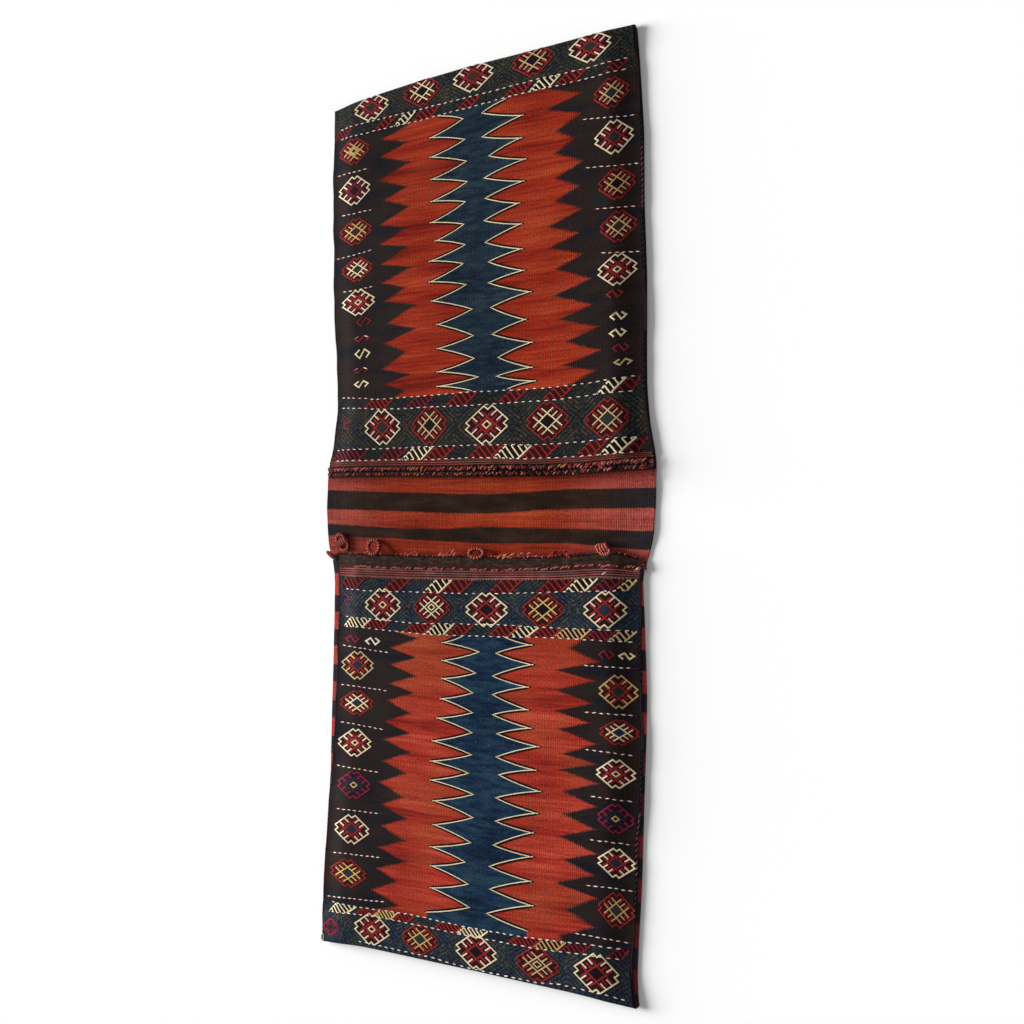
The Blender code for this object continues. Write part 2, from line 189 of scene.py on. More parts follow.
# Medallions: centre, half width, half height, outline, comb, core and, for some, a small centre
MEDALLIONS = (
    (-164, 130, 34, 28, "cream", "red", "green", None),
    (-75, 126, 33, 30, "red", "beige", "black", None),
    (27, 119, 37, 29, "cream", "red", "red", "cream"),
    (127, 116, 34, 28, "red", "cream", "black", None),
    (220, 112, 34, 28, "red", "beige", "green", None),
    (-192, 642, 34, 22, "cream", "red", "green", None),
    (-94, 645, 34, 24, "red", "cream", "black", None),
    (0, 645, 36, 24, "cream", "red", "brown", None),
    (102, 644, 34, 24, "red", "beige", "black", None),
    (195, 640, 34, 22, "cream", "red", "green", None),
    (-225, 577, 31, 22, "red", "ochre", "ochre", "ochre"),
    (-224, 513, 32, 23, "cream", "wine", "body", None),
    (-221, 446, 32, 22, "red", "yellow", "plum", None),
    (-217, 385, 31, 20, "red", "cream", "green", None),
    (-213, 331, 33, 21, "cream", "red", "red", "cream"),
    (228, 565, 28, 23, "red", "beige", "green", None),
    (232, 501, 30, 24, "cream", "red", "green", None),
    (236, 435, 29, 23, "red", "ochre", "black", None),
    (238, 375, 28, 22, "red", "beige", "brown", None),
    (236, 315, 30, 22, "cream", "red", "red", "cream"),
    (-157, -141, 33, 25, "cream", "red", "red", "cream"),
    (-68, -144, 32, 24, "red", "cream", "black", "cream"),
    (27, -147, 36, 25, "cream", "red", "black", None),
    (120, -146, 33, 24, "red", "yellow", "black", None),
    (215, -146, 33, 25, "cream", "red", "navy", None),
    (-248, -628, 14, 12, "magenta", "plum", "body", None),
    (-171, -620, 33, 23, "cream", "red", "red", "cream"),
    (-84, -621, 32, 22, "red", "ochre", "green", None),
    (13, -623, 35, 24, "cream", "red", "black", None),
    (112, -623, 34, 23, "red", "beige", "black", "beige"),
    (201, -620, 34, 25, "cream", "red", "black", None),
    (-206, -233, 31, 22, "beige", "red", "navy", None),
    (-206, -290, 33, 19, "red", "cream", "navy", None),
    (-209, -350, 32, 21, "cream", "red", "red", "cream"),
    (-209, -413, 32, 21, "magenta", "navy", "navy", "yellow"),
    (-212, -479, 33, 22, "cream", "red", "navy", None),
    (-217, -544, 36, 21, "red", "yellow", "navy", None),
    (235, -253, 29, 22, "ochre", "red", "green", None),
    (236, -306, 29, 17, "red", "cream", "navy", None),
    (231, -360, 29, 19, "cream", "red", "red", "cream"),
    (230, -418, 27, 19, "magenta", "navy", "navy", "yellow"),
    (230, -475, 28, 19, "cream", "red", "navy", None),
    (230, -535, 27, 23, "red", "ochre", "slate", None),
)

# Small hooked figures: centre, half width, half height, hand, colour and a second colour
HOOKS = (
    (-201, 299, 14, 6, 1, "wine", "wine"), (-205, 273, 15, 4, 1, "magenta", "white"),
    (-204, 249, 14, 7, 1, "cream", "cream"), (-206, 223, 14, 4, 1, "wine", "white"),
    (-205, 201, 13, 5, 1, "cream", "cream"), (232, 282, 12, 5, -1, "red", "red"),
    (237, 251, 12, 5, -1, "cream", "red"), (236, 228, 12, 5, -1, "cream", "cream"),
    (241, 207, 12, 5, -1, "magenta", "magenta"), (244, 187, 13, 4, 1, "beige", "beige"),
    (-215, -193, 13, 5, -1, "magenta", "red"), (-176, -196, 13, 5, -1, "white", "cream"),
    (218, -205, 11, 5, -1, "wine", "red"), (247, -206, 11, 4, -1, "cream", "cream"),
)
LIGHTNINGS = ((-233, 143, 8, 11), (-226, -133, 8, 9))

# Rows of dashes between the side medallions: start and end
SEPARATORS = (
    (-262, 543, -190, 543), (-252, 476, -182, 476), (-262, 407, -185, 411),
    (-248, 352, -178, 352), (180, 537, 268, 524), (185, 466, 272, 456), (200, 405, 270, 397),
    (208, 342, 270, 334), (-238, -203, -140, -213), (-240, -263, -148, -269),
    (-240, -320, -152, -327), (-246, -386, -160, -391), (-245, -451, -155, -451),
    (-250, -517, -150, -514), (-261, -584, -143, -577), (180, -220, 262, -222),
    (182, -282, 262, -283), (182, -331, 262, -335), (190, -392, 262, -394),
    (188, -449, 260, -449), (182, -509, 258, -507), (165, -574, 254, -573),
)
FOLD_DASHES = ((-200, -641), (-60, -643), (0, -647), (110, -647), (150, -643), (245, -645))

# Lines of the bridge's stripes, from the upper mouth to the lower one
BRIDGE_LINES = (
    ((-280, 63), (-188, 57.5), (-104, 50), (-25, 46), (51, 42), (123, 38.5), (290, 39)),
    ((-269, 38.5), (-187, 32), (-104, 26.5), (-24, 21), (51, 17), (123, 18.5), (158, 19),
     (225, 16.5), (287, 15)),
    ((-269, 8.5), (-187, 3.5), (-103, -2.5), (-24, -7.5), (33, -10), (88, -9), (123, -8),
     (192, -9), (287, -12)),
    ((-267, -15.5), (-186, -21.5), (-123, -27), (-43, -30), (14, -28), (88, -32.5), (192, -37),
     (285, -42.5)),
    ((-268, -33), (-208, -37), (-144, -40.5), (-103, -44), (14, -52), (88, -54), (158, -55),
     (225, -62), (282, -67.5)),
    ((-268, -62), (-100, -72), (0, -76), (120, -78), (280, -82)),
)
# Rows of the weave that those lines are, and the rows where the back meets its two folds
BRIDGE_ROWS = (46.0, 20.0, -8.0, -28.0, -50.0, -76.0)
BACK_ENDS = (640.0, -636.0)
# Beyond the bridge each dark stripe is followed by a red one.
DARK_STRIPE = 26.0
STRIPE_PITCH = 55.0


def dye(red, green, blue):
    """Linear colour with alpha for a display colour of 0 to 255."""
    values = []
    for value in (red, green, blue):
        value /= 255
        values.append(value / 12.92 if value <= 0.04045 else ((value + 0.055) / 1.055) ** 2.4)
    return (*values, 1.0)


DYES = {
    "cream": dye(226, 208, 168),
    "white": dye(238, 230, 220),
    "blush": dye(232, 200, 186),
    "beige": dye(196, 168, 124),
    "yellow": dye(208, 174, 106),
    "ochre": dye(192, 154, 100),
    "red": dye(136, 38, 38),
    "orange": dye(188, 62, 38),
    "wine": dye(112, 34, 44),
    "magenta": dye(128, 36, 62),
    "pink": dye(204, 122, 112),
    "rose": dye(160, 66, 62),
    "dusk": dye(128, 96, 88),
    "brown": dye(62, 42, 32),
    "black": dye(24, 17, 18),
    "body": dye(40, 22, 22),
    "plum": dye(58, 36, 40),
    "umber": dye(78, 42, 36),
    "brick": dye(112, 38, 34),
    "slate": dye(50, 48, 54),
    "apricot": dye(200, 122, 84),
    "mauve": dye(122, 74, 80),
    "navy": dye(34, 44, 60),
    "green": dye(38, 46, 43),
}


# The bag's shape


def smooth(t):
    t = np.clip(t, 0.0, 1.0)
    return t * t * (3.0 - 2.0 * t)


def mix(a, b, t):
    return a + (b - a) * t


def knots(points, at):
    """Value between (position, value) points, in either order of position."""
    points = sorted(points)
    return np.interp(at, [p[0] for p in points], [p[1] for p in points])


def rounded(points, at, reach=9.0):
    """The same, averaged over a short reach so that the knots don't show."""
    offsets = (-1.0, -0.5, 0.0, 0.5, 1.0)
    return sum(knots(points, at + reach * offset) for offset in offsets) / len(offsets)


def back_sides(y):
    return rounded(LEFT_EDGE, y), rounded(RIGHT_EDGE, y)


def front_sides(y):
    left, right = back_sides(y)
    left_inset = rounded([(row, inset) for row, inset, _ in FRONT_INSETS], y)
    right_inset = rounded([(row, inset) for row, _, inset in FRONT_INSETS], y)
    ripple = 0.7 * np.sin(y / 31.0) + 0.5 * np.sin(y / 13.0 + 1.0)
    return left + left_inset + ripple, right - right_inset + ripple


def side_rise(x, left, right):
    """0 at either side, rising to 1 over the slope beside it."""
    return smooth(np.minimum(x - left, right - x) / SIDE_SLOPE)


def rise_at(x, y):
    return side_rise(x, *front_sides(y))


def seen(x, y):
    """Place on a front of what the tables give at (x, y)."""
    at_x, at_y = x, y
    for _ in range(2):
        lift = EDGE_LIFT + FACE_LIFT * rise_at(at_x, at_y)
        at_x = x + lift * (EYE[0] - x) / EYE[2]
        at_y = y + lift * (EYE[1] - y) / EYE[2]
    return at_x, at_y


def seen_line(line):
    return [seen(x, y) for x, y in line]


def seen_teeth(edge):
    return [seen(x, y)[::-1] for y, x in edge]


class Pouch:
    def __init__(self, side, lines):
        self.side = side
        self.lines = lines
        self.middle = [float(self.line(number, 0.0, 1.0)) for number in range(len(lines))]

    def reach(self, x):
        """Distance of the outside of the fold from the origin of the tables."""
        return self.side * rounded(self.lines[-1], x, 20.0)

    def radius(self, rise):
        return mix(CLOTH + FOLD_SIDE_GAP, CLOTH + POUCH_GAP, rise) / 2

    def fold_start(self, x, rise):
        return self.side * (self.reach(x) - HALF_CLOTH - self.radius(rise))

    def line(self, number, x, rise):
        if number == len(self.lines) - 1:
            return self.fold_start(x, rise)
        return rounded(self.lines[number], x, 12.0)

    def level(self, row):
        """Where a row of the weave lies on the bag's middle line."""
        return float(np.interp(row, range(len(self.middle)), self.middle))

    def woven(self, x, y):
        """Row of the weave at a point: its line number plus the share of the way to the next."""
        rise = rise_at(x, y)
        heights = [self.side * self.line(number, x, rise) for number in range(len(self.lines))]
        return float(np.interp(self.side * y, heights, range(len(heights))))


UPPER = Pouch(1, [seen_line(line) for line in UPPER_LINES[:-1]] + [UPPER_LINES[-1]])
LOWER = Pouch(-1, [seen_line(line) for line in LOWER_LINES[:-1]] + [LOWER_LINES[-1]])


def wave(x, y):
    """Slack of the weave as it lies."""
    return (0.9 * np.sin(x / 47.0 + y / 90.0) + 0.8 * np.sin(y / 61.0 - x / 120.0 + 2.0)
            + 0.5 * np.sin(x / 23.0 - y / 37.0) + 0.4 * np.sin(y / 19.0 + x / 60.0 + 1.0))


def front_height(pouch, x, y, rise):
    """Height of a front's middle surface."""
    to_fold = 1 - smooth((pouch.reach(x) - pouch.side * y) / FOLD_EASE)
    at_side = CLOTH + mix(SIDE_GAP, FOLD_SIDE_GAP, to_fold)
    gap = mix(at_side, CLOTH + POUCH_GAP, rise)
    from_mouth = smooth(np.abs(y - pouch.line(0, x, rise)) / 30.0)
    calm = rise * (1 - 0.9 * to_fold) * mix(0.6, 1.0, from_mouth)
    return HALF_CLOTH + gap + calm * wave(x, y)


def bridge_height(x, y):
    """Height of the back's middle surface: it ripples a little where no front covers it."""
    open_part = smooth((75.0 - np.abs(y + 5.0)) / 30.0)
    ripple = (1.0 + 0.6 * np.sin(x / 38.0 + y / 25.0) + 0.4 * np.sin(x / 17.0 - y / 40.0 + 1.0)
              + 0.5 * np.sin(y / 9.0 + 0.5 * np.sin(x / 70.0)))
    return HALF_CLOTH + open_part * np.maximum(ripple, 0.0)


def placed(x, y, z):
    """Metres in the part's frame, from millimetres in the tables' frame."""
    return np.stack([(x + SHIFT[0]) / 1000, (y + SHIFT[1]) / 1000, z / 1000], axis=-1)


def on_front(pouch, x, y, lift):
    """Points laid on a front's outer face, and round its fold past the end."""
    x, y, lift = np.broadcast_arrays(*(np.asarray(a, float) for a in (x, y, lift)))
    rise = rise_at(x, y)
    start = pouch.fold_start(x, rise)
    past = np.maximum(pouch.side * (y - start), 0.0)
    radius = pouch.radius(rise)
    outer = radius + HALF_CLOTH + lift
    angle = past / (radius + HALF_CLOTH)
    flat = front_height(pouch, x, y, rise) + HALF_CLOTH + lift
    round_y = start + pouch.side * outer * np.sin(angle)
    round_z = HALF_CLOTH + radius + outer * np.cos(angle)
    beyond = past > 0
    return placed(x, np.where(beyond, round_y, y), np.where(beyond, round_z, flat))


# Shaders


class Value:
    """A node's output that takes part in arithmetic by adding Math nodes."""

    def __init__(self, graph, socket):
        self.graph = graph
        self.socket = socket

    def apply(self, operation, *values):
        return self.graph.node("ShaderNodeMath", {"operation": operation}, dict(enumerate(values)))

    def __add__(self, other):
        return self.apply("ADD", self, other)

    def __sub__(self, other):
        return self.apply("SUBTRACT", self, other)

    def __rsub__(self, other):
        return self.apply("SUBTRACT", other, self)

    def __mul__(self, other):
        return self.apply("MULTIPLY", self, other)

    def __truediv__(self, other):
        return self.apply("DIVIDE", self, other)

    __radd__ = __add__
    __rmul__ = __mul__

    def min(self, other):
        return self.apply("MINIMUM", self, other)

    def wave(self, pitch):
        """Triangle wave from 0 to 1 and back over one pitch."""
        return self.apply("PINGPONG", self, pitch / 2) / (pitch / 2)

    def over(self, edge, blur=0.0004):
        """1 where the value is over the edge, 0 below."""
        return self.graph.node("ShaderNodeMapRange", {}, {
            0: self, 1: edge - blur, 2: edge + blur, 3: 0.0, 4: 1.0})

    def between(self, low, high, blur=0.0004):
        return self.over(low, blur) - self.over(high, blur)


class Graph:
    """A material's nodes, ending in one Principled shader."""

    def __init__(self, name, roughness=0.92):
        self.material = bpy.data.materials.new(name)
        self.material.use_nodes = True
        self.tree = self.material.node_tree
        self.shader = self.tree.nodes["Principled BSDF"]
        self.shader.inputs["Roughness"].default_value = roughness
        self.shader.inputs["Specular IOR Level"].default_value = 0.04

    def feed(self, socket, value):
        if isinstance(value, Value):
            self.tree.links.new(value.socket, socket)
        else:
            socket.default_value = value

    def node(self, kind, settings, sockets, output=0):
        node = self.tree.nodes.new(kind)
        for name, setting in settings.items():
            if name == "stops":
                ramp = node.color_ramp
                while len(ramp.elements) < len(setting):
                    ramp.elements.new(1.0)
                for element, (position, colour) in zip(ramp.elements, setting):
                    element.position = position
                    element.color = colour
            else:
                setattr(node, name, setting)
        for name, value in sockets.items():
            self.feed(node.inputs[name], value)
        return Value(self, node.outputs[output])

    def attribute(self, name, output):
        return self.node("ShaderNodeAttribute", {"attribute_name": name}, {}, output)

    def scaled(self, vector, scale):
        return self.node("ShaderNodeVectorMath", {"operation": "MULTIPLY"}, {0: vector, 1: scale})

    def noise(self, vector, scale, detail):
        return self.node("ShaderNodeTexNoise", {}, {
            "Vector": self.scaled(vector, scale), "Scale": 1.0, "Detail": detail})

    def ramp(self, factor, *stops):
        return self.node("ShaderNodeValToRGB", {"stops": stops}, {0: factor})

    def mixed(self, factor, first, second, blend="MIX"):
        return self.node("ShaderNodeMix", {"data_type": "RGBA", "blend_type": blend}, {
            0: factor, 6: first, 7: second}, 2)

    def lit(self, colour, light):
        """The colour made lighter or darker by a plain value."""
        grey = self.node("ShaderNodeCombineColor", {}, {0: light, 1: light, 2: light})
        return self.mixed(1.0, colour, grey, "MULTIPLY")

    def finish(self, colour, height=None, depth=0.0003, strength=0.6):
        self.feed(self.shader.inputs["Base Color"], colour)
        if height is not None:
            bump = self.node("ShaderNodeBump", {}, {
                "Strength": strength, "Distance": depth, "Height": height})
            self.feed(self.shader.inputs["Normal"], bump)
        return self.material


def axes(graph, vector):
    return (graph.node("ShaderNodeSeparateXYZ", {}, {0: vector}, 0),
            graph.node("ShaderNodeSeparateXYZ", {}, {0: vector}, 1))


# Pitches of the ribs, of the comb at the red's edge and of the ribbed lines, in metres, and of the
# lines round the medallions, in half sizes of a medallion
RIB_PITCH = 0.0028
COMB_PITCH = 0.0030
LINE_PITCH = 0.0034
RING_PITCH = 0.25


def woven_finish(graph, rest, x, colour, depth=0.0003):
    """Lays ribs, packed rows of yarn and worn places over a colour, as light and as height."""
    ribs = x.wave(RIB_PITCH)
    streaks = graph.noise(rest, (26.0, 330.0, 0.0), 3.0)
    grain = graph.noise(rest, (420.0, 360.0, 0.0), 2.0)
    worn = graph.noise(rest, (16.0, 11.0, 0.0), 3.0)
    light = ribs * 0.45 + streaks * 0.55 + grain * 1.70 + worn * 0.40 - 0.55
    height = ribs * 0.6 + graph.noise(rest, (500.0, 1500.0, 0.0), 2.0) * 0.7
    return graph.finish(graph.lit(colour, light), height, depth)


# Dye lots of a wool, from dark to light. A border ground's last four are those of its flecks.
UPPER_RED = (dye(100, 20, 14), dye(136, 36, 20), dye(146, 44, 24), dye(160, 60, 34))
LOWER_RED = (dye(112, 26, 22), dye(150, 42, 31), dye(161, 52, 38), dye(176, 70, 52))
STRIPE_RED = (dye(98, 24, 13), dye(128, 36, 17), dye(138, 44, 20), dye(153, 61, 29))
STRIPE_ROSE = (dye(96, 29, 26), dye(126, 44, 40), dye(141, 57, 51), dye(158, 76, 68))
UPPER_BLUE = (dye(15, 27, 40), dye(24, 38, 52), dye(32, 47, 58), dye(42, 56, 62))
LOWER_BLUE = (dye(13, 27, 48), dye(22, 41, 64), dye(30, 53, 72), dye(38, 62, 72))
UPPER_GROUND = (dye(27, 22, 25), dye(35, 30, 28), dye(35, 37, 32), dye(48, 37, 31),
                dye(50, 58, 66), dye(50, 62, 54), dye(82, 74, 62), dye(70, 50, 52))
LOWER_GROUND = (dye(22, 26, 40), dye(31, 36, 44), dye(34, 44, 44), dye(46, 41, 45),
                dye(50, 62, 80), dye(52, 68, 64), dye(82, 82, 80), dye(72, 52, 66))
LOTS = (0.36, 0.50, 0.60, 0.74)


def red_wool(graph, rest, reds):
    """Red weft with bands of lighter and darker dye lots."""
    lots = graph.noise(rest, (2.2, 46.0, 0.0), 3.0)
    threads = graph.noise(rest, (12.0, 230.0, 0.0), 2.0)
    tone = lots * 0.85 + threads * 0.55 - 0.15
    return graph.ramp(tone, *zip(LOTS, reds))


def dark_wool(graph, rest):
    patches = graph.noise(rest, (11.0, 34.0, 0.0), 3.0)
    return graph.ramp(patches, (0.30, dye(22, 24, 34)), (0.45, dye(33, 27, 29)),
                      (0.58, dye(40, 30, 27)), (0.70, dye(30, 35, 33)))


def blue_wool(graph, rest, blues):
    streaks = graph.noise(rest, (34.0, 150.0, 0.0), 3.0)
    lots = graph.noise(rest, (5.0, 26.0, 0.0), 2.0)
    tone = streaks * 0.8 + lots * 0.5 - 0.12
    blue = graph.ramp(tone, *zip(LOTS, blues))
    specks = graph.noise(rest, (420.0, 300.0, 0.0), 0.0).over(0.77, 0.02)
    return graph.mixed(specks * 0.3, blue, dye(110, 118, 124))


def ground_wool(graph, rest, grounds):
    """Dark border ground with faint lines of mixed yarn that run round the medallions."""
    patches = graph.noise(rest, (30.0, 30.0, 0.0), 3.0)
    base = graph.ramp(patches, *zip(LOTS, grounds[:4]))
    flecks = graph.noise(rest, (280.0, 280.0, 0.0), 1.0)
    wave = graph.attribute("ring", 2).wave(RING_PITCH)
    base = graph.mixed((1.0 - wave.over(0.30, 0.2)) * 0.45, base, dye(14, 16, 20))
    lines = wave.over(0.62, 0.30)
    lattice = (lines + 0.20).min(1.0) * flecks.over(0.48, 0.08)
    fleck_dye = graph.ramp(graph.noise(rest, (60.0, 60.0, 0.0), 0.0), *zip(LOTS, grounds[4:]))
    return graph.mixed(lattice * 0.85, base, fleck_dye)


def front_weave(name, pouch, hem, reds, blues, grounds, warmth):
    """A front's weave; hem is the plain share of the band at its mouth."""
    levels = [level / 1000 for level in pouch.middle]
    sharp = 0.0002

    def between(row, low, high):
        low, high = sorted((low, high))
        return row.between(low, high, sharp)

    graph = Graph(name)
    rest = graph.attribute("rest", 1)
    x, row = axes(graph, rest)
    comb = x.wave(COMB_PITCH)
    ragged = graph.noise(rest, (240.0, 80.0, 0.0), 1.0)
    red_edge = graph.attribute("red", 2) + (comb - 0.5) * 0.011 + (ragged - 0.5) * 0.010
    blue_edge = graph.attribute("blue", 2)
    heat = graph.noise(rest, (7.0, 14.0, 0.0), 2.0).over(0.56, 0.08)
    orange = graph.ramp(graph.noise(rest, (4.0, 60.0, 0.0), 2.0), (0.4, dye(150, 62, 34)),
                        (0.6, dye(166, 82, 50)))
    red = graph.mixed(heat * warmth, red_wool(graph, rest, reds), orange)
    if pouch.side < 0:
        first_rows = row.over(-0.250, 0.05) * (1.0 - x.over(-0.02, 0.08))
        red = graph.mixed(first_rows * 0.75, red, orange)
        last_rows = row.over(-0.250, 0.05) * x.over(0.09, 0.05)
        red = graph.mixed(last_rows * 0.60, red, dye(132, 48, 26))
    sides = graph.mixed(red_edge.over(0.0), dark_wool(graph, rest), red)
    centre = graph.mixed(blue_edge.over(0.0), sides, blue_wool(graph, rest, blues))
    ground = ground_wool(graph, rest, grounds)
    if pouch.side < 0:
        ground = graph.mixed(x.over(0.215, 0.04) * 0.55, ground, dye(17, 25, 42))
    for low, high in ((1, 2), (3, 4), (5, 6)):
        in_guard = between(row, levels[low], levels[high])
        ground = graph.mixed(in_guard * 0.35, ground, dye(18, 22, 24))
    colour = graph.mixed(between(row, levels[4], levels[5]), ground, centre)
    lines = (row - levels[1]).wave(LINE_PITCH)
    broken = graph.noise(rest, (50.0, 60.0, 0.0), 1.0)
    line_dyes = (dye(142, 62, 58), dye(112, 78, 76), dye(150, 88, 84))
    if pouch.side > 0:
        line_dyes = (dye(134, 54, 46), dye(98, 58, 50), dye(138, 72, 60))
    pale_line = graph.ramp(graph.noise(rest, (4.0, 190.0, 0.0), 1.0),
                           *zip((0.40, 0.50, 0.60), line_dyes))
    pale = (lines + (broken - 0.5) * 0.7).over(0.54, 0.20)
    ribbed_dye = graph.mixed(pale, dye(40, 23, 22), pale_line)
    hem_edge = mix(levels[0], levels[1], hem)
    past_mouth = levels[0] - pouch.side * 0.006
    hem_dye = graph.ramp(graph.noise(rest, (90.0, 260.0, 0.0), 3.0), (0.36, dye(34, 27, 23)),
                         (0.50, dye(48, 36, 30)), (0.64, dye(66, 49, 40)))
    mouth = graph.mixed(between(row, past_mouth, hem_edge), ribbed_dye, hem_dye)
    sewn = between(row, mix(levels[0], hem_edge, 0.72), hem_edge)
    mouth = graph.mixed(sewn * 0.8, mouth, dye(54, 26, 24))
    colour = graph.mixed(between(row, past_mouth, levels[1]), colour, mouth)
    return woven_finish(graph, rest, x, colour)


def striped_weave():
    """Red and brown stripes of the bridge and the back."""
    graph = Graph("striped_weave")
    rest = graph.attribute("rest", 1)
    x, row = axes(graph, rest)
    wavering = (graph.noise(rest, (60.0, 8.0, 0.0), 2.0) - 0.5) * 0.0022
    ticks = (x.wave(LINE_PITCH) - 0.5) * 0.0016
    level = row + wavering + ticks
    lines = [line / 1000 for line in BRIDGE_ROWS]

    def dark_beyond(past):
        """1 in the dark stripes that follow each other past an edge of the bridge."""
        place = past.apply("MODULO", past, STRIPE_PITCH / 1000)
        return past.over(0.0) * (1.0 - place.over(DARK_STRIPE / 1000))

    dark = (level.between(lines[2], lines[1]) + level.between(lines[4], lines[3])
            + dark_beyond(level - lines[0]) + dark_beyond(lines[5] - level))
    from_middle = x.apply("ABSOLUTE", x)
    pinker = from_middle.over(0.20, 0.07)
    red = graph.mixed(pinker, red_wool(graph, rest, STRIPE_RED),
                      red_wool(graph, rest, STRIPE_ROSE))
    warp = x.wave(0.0024)
    red = graph.mixed(warp.over(0.7, 0.3) * row.wave(0.0030) * 0.45, red, dye(196, 96, 68))
    red = graph.mixed(warp.over(0.6, 0.3) * pinker * 0.25, red, dye(206, 122, 112))
    brown = graph.ramp(graph.noise(rest, (20.0, 60.0, 0.0), 3.0), (0.35, dye(29, 20, 15)),
                       (0.52, dye(41, 26, 19)), (0.68, dye(52, 34, 25)))
    brown = graph.mixed(from_middle.over(0.242, 0.03) * 0.8, brown, dye(28, 28, 34))
    brown = graph.mixed(warp.over(0.7, 0.3) * pinker * 0.22, brown, dye(84, 74, 72))
    at_side = from_middle.over(0.249, 0.004) * (1.0 - row.over(-0.080, 0.004))
    red = graph.mixed(at_side * 0.9, red, dye(184, 70, 72))
    brown = graph.mixed(at_side * 0.8, brown, dye(50, 50, 58))
    shaded_side = x.over(0.249, 0.004) * (1.0 - row.over(-0.300, 0.010))
    red = graph.mixed(shaded_side * 0.6, red, dye(60, 38, 44))
    colour = graph.mixed(dark, red, brown)
    upper_side = from_middle.over(0.250, 0.004) * row.over(0.068, 0.003)
    colour = graph.mixed(upper_side, colour, dye(42, 38, 42))
    return woven_finish(graph, rest, x, colour, 0.0004)


def inside_weave():
    """Reverse of the weave, seen only through the mouths."""
    graph = Graph("inside_weave")
    rest = graph.attribute("rest", 1)
    x, _ = axes(graph, rest)
    tone = graph.noise(rest, (12.0, 70.0, 0.0), 3.0)
    colour = graph.ramp(tone, (0.35, dye(42, 28, 26)), (0.6, dye(88, 42, 34)))
    return woven_finish(graph, rest, x, colour)


def yarn_wool(name, grain=900.0, strength=0.5):
    """Spun wool in the colour that each strand carries."""
    graph = Graph(name)
    tint = graph.attribute("dye", 0)
    place = graph.node("ShaderNodeTexCoord", {}, {}, 3)
    fibres = graph.noise(place, (grain, grain, grain), 3.0)
    lots = graph.noise(place, (60.0, 60.0, 60.0), 2.0)
    light = fibres * 0.5 + lots * 0.5 + 0.5
    return graph.finish(graph.lit(tint, light), fibres, 0.0004, strength)


# Meshes

SHARPEST_SMOOTH = math.radians(50)


def linked(name, data):
    """An object of the scene that holds a mesh, a lamp or a camera."""
    holder = bpy.data.objects.new(name, data)
    bpy.context.scene.collection.objects.link(holder)
    return holder


def smooth_piece(mesh, materials):
    """A piece with this mesh and its name, smooth but for its sharp edges."""
    for material in materials:
        mesh.materials.append(material)
    mesh.validate()
    mesh.shade_smooth()
    mesh.set_sharp_from_angle(angle=SHARPEST_SMOOTH)
    return linked(mesh.name, mesh)


class Shape:
    """Collects strips, fills and strands of yarn into one mesh with a colour at each vertex."""

    def __init__(self):
        self.points = []
        self.faces = []
        self.colours = []

    def add(self, points, faces, colour):
        base = len(self.points)
        self.points.extend(points)
        self.colours.extend([colour] * len(points))
        self.faces.extend([base + index for index in face] for face in faces)

    def rings(self, rings, colour, closed=False):
        """Joins equal rings of points into a tube, with flat ends unless it is closed."""
        count, sides = len(rings), len(rings[0])
        faces = []
        for i in range(count if closed else count - 1):
            j = (i + 1) % count
            for k in range(sides):
                m = (k + 1) % sides
                faces.append((i * sides + k, i * sides + m, j * sides + m, j * sides + k))
        if not closed:
            faces.append(tuple(reversed(range(sides))))
            faces.append(tuple((count - 1) * sides + k for k in range(sides)))
        self.add([tuple(p) for ring in rings for p in ring], faces, colour)

    def strand(self, path, radius, colour, sides=6, closed=False, shares=None):
        """A round strand of yarn along the path, in metres."""
        path = np.asarray(path, float)
        ahead = np.roll(path, -1, axis=0) - path
        behind = path - np.roll(path, 1, axis=0)
        tangent = ahead + behind
        if not closed:
            tangent[0], tangent[-1] = ahead[0], behind[-1]
        tangent /= np.linalg.norm(tangent, axis=1)[:, None] + 1e-12
        up = np.array([0.0, 0.0, 1.0])
        if abs(tangent[0] @ up) > 0.9:
            up = np.array([1.0, 0.0, 0.0])
        normal = up - tangent[0] * (up @ tangent[0])
        rings = []
        turns = np.arange(sides) * 2 * math.pi / sides
        for index, (point, along) in enumerate(zip(path, tangent)):
            normal = normal - along * (normal @ along)
            normal /= np.linalg.norm(normal) + 1e-12
            side = np.cross(along, normal)
            size = radius * (1.0 if shares is None else shares[index])
            rings.append(point + size * (np.outer(np.cos(turns), normal)
                                         + np.outer(np.sin(turns), side)))
        self.rings(rings, colour, closed)

    def finish(self, name, material):
        mesh = bpy.data.meshes.new(name)
        mesh.from_pydata(self.points, [], self.faces)
        tint = mesh.attributes.new("dye", "FLOAT_COLOR", "POINT")
        tint.data.foreach_set("color", np.asarray(self.colours, np.float32).ravel())
        return smooth_piece(mesh, [material])


def dense(path, step, closed=False):
    """The path with points added so that none are further apart than the step."""
    path = [np.asarray(p, float) for p in path]
    ends = path[1:] + path[:1] if closed else path[1:]
    points = []
    for start, end in zip(path, ends):
        count = max(1, math.ceil(np.linalg.norm(end - start) / step))
        points.extend(start + (end - start) * i / count for i in range(count))
    if not closed:
        points.append(path[-1])
    return np.array(points)


RIDGE_PROFILE = ((-0.5, None), (-0.36, 0.75), (0.0, 1.0), (0.36, 0.75), (0.5, None))
RIDGE_ROOT = -0.35


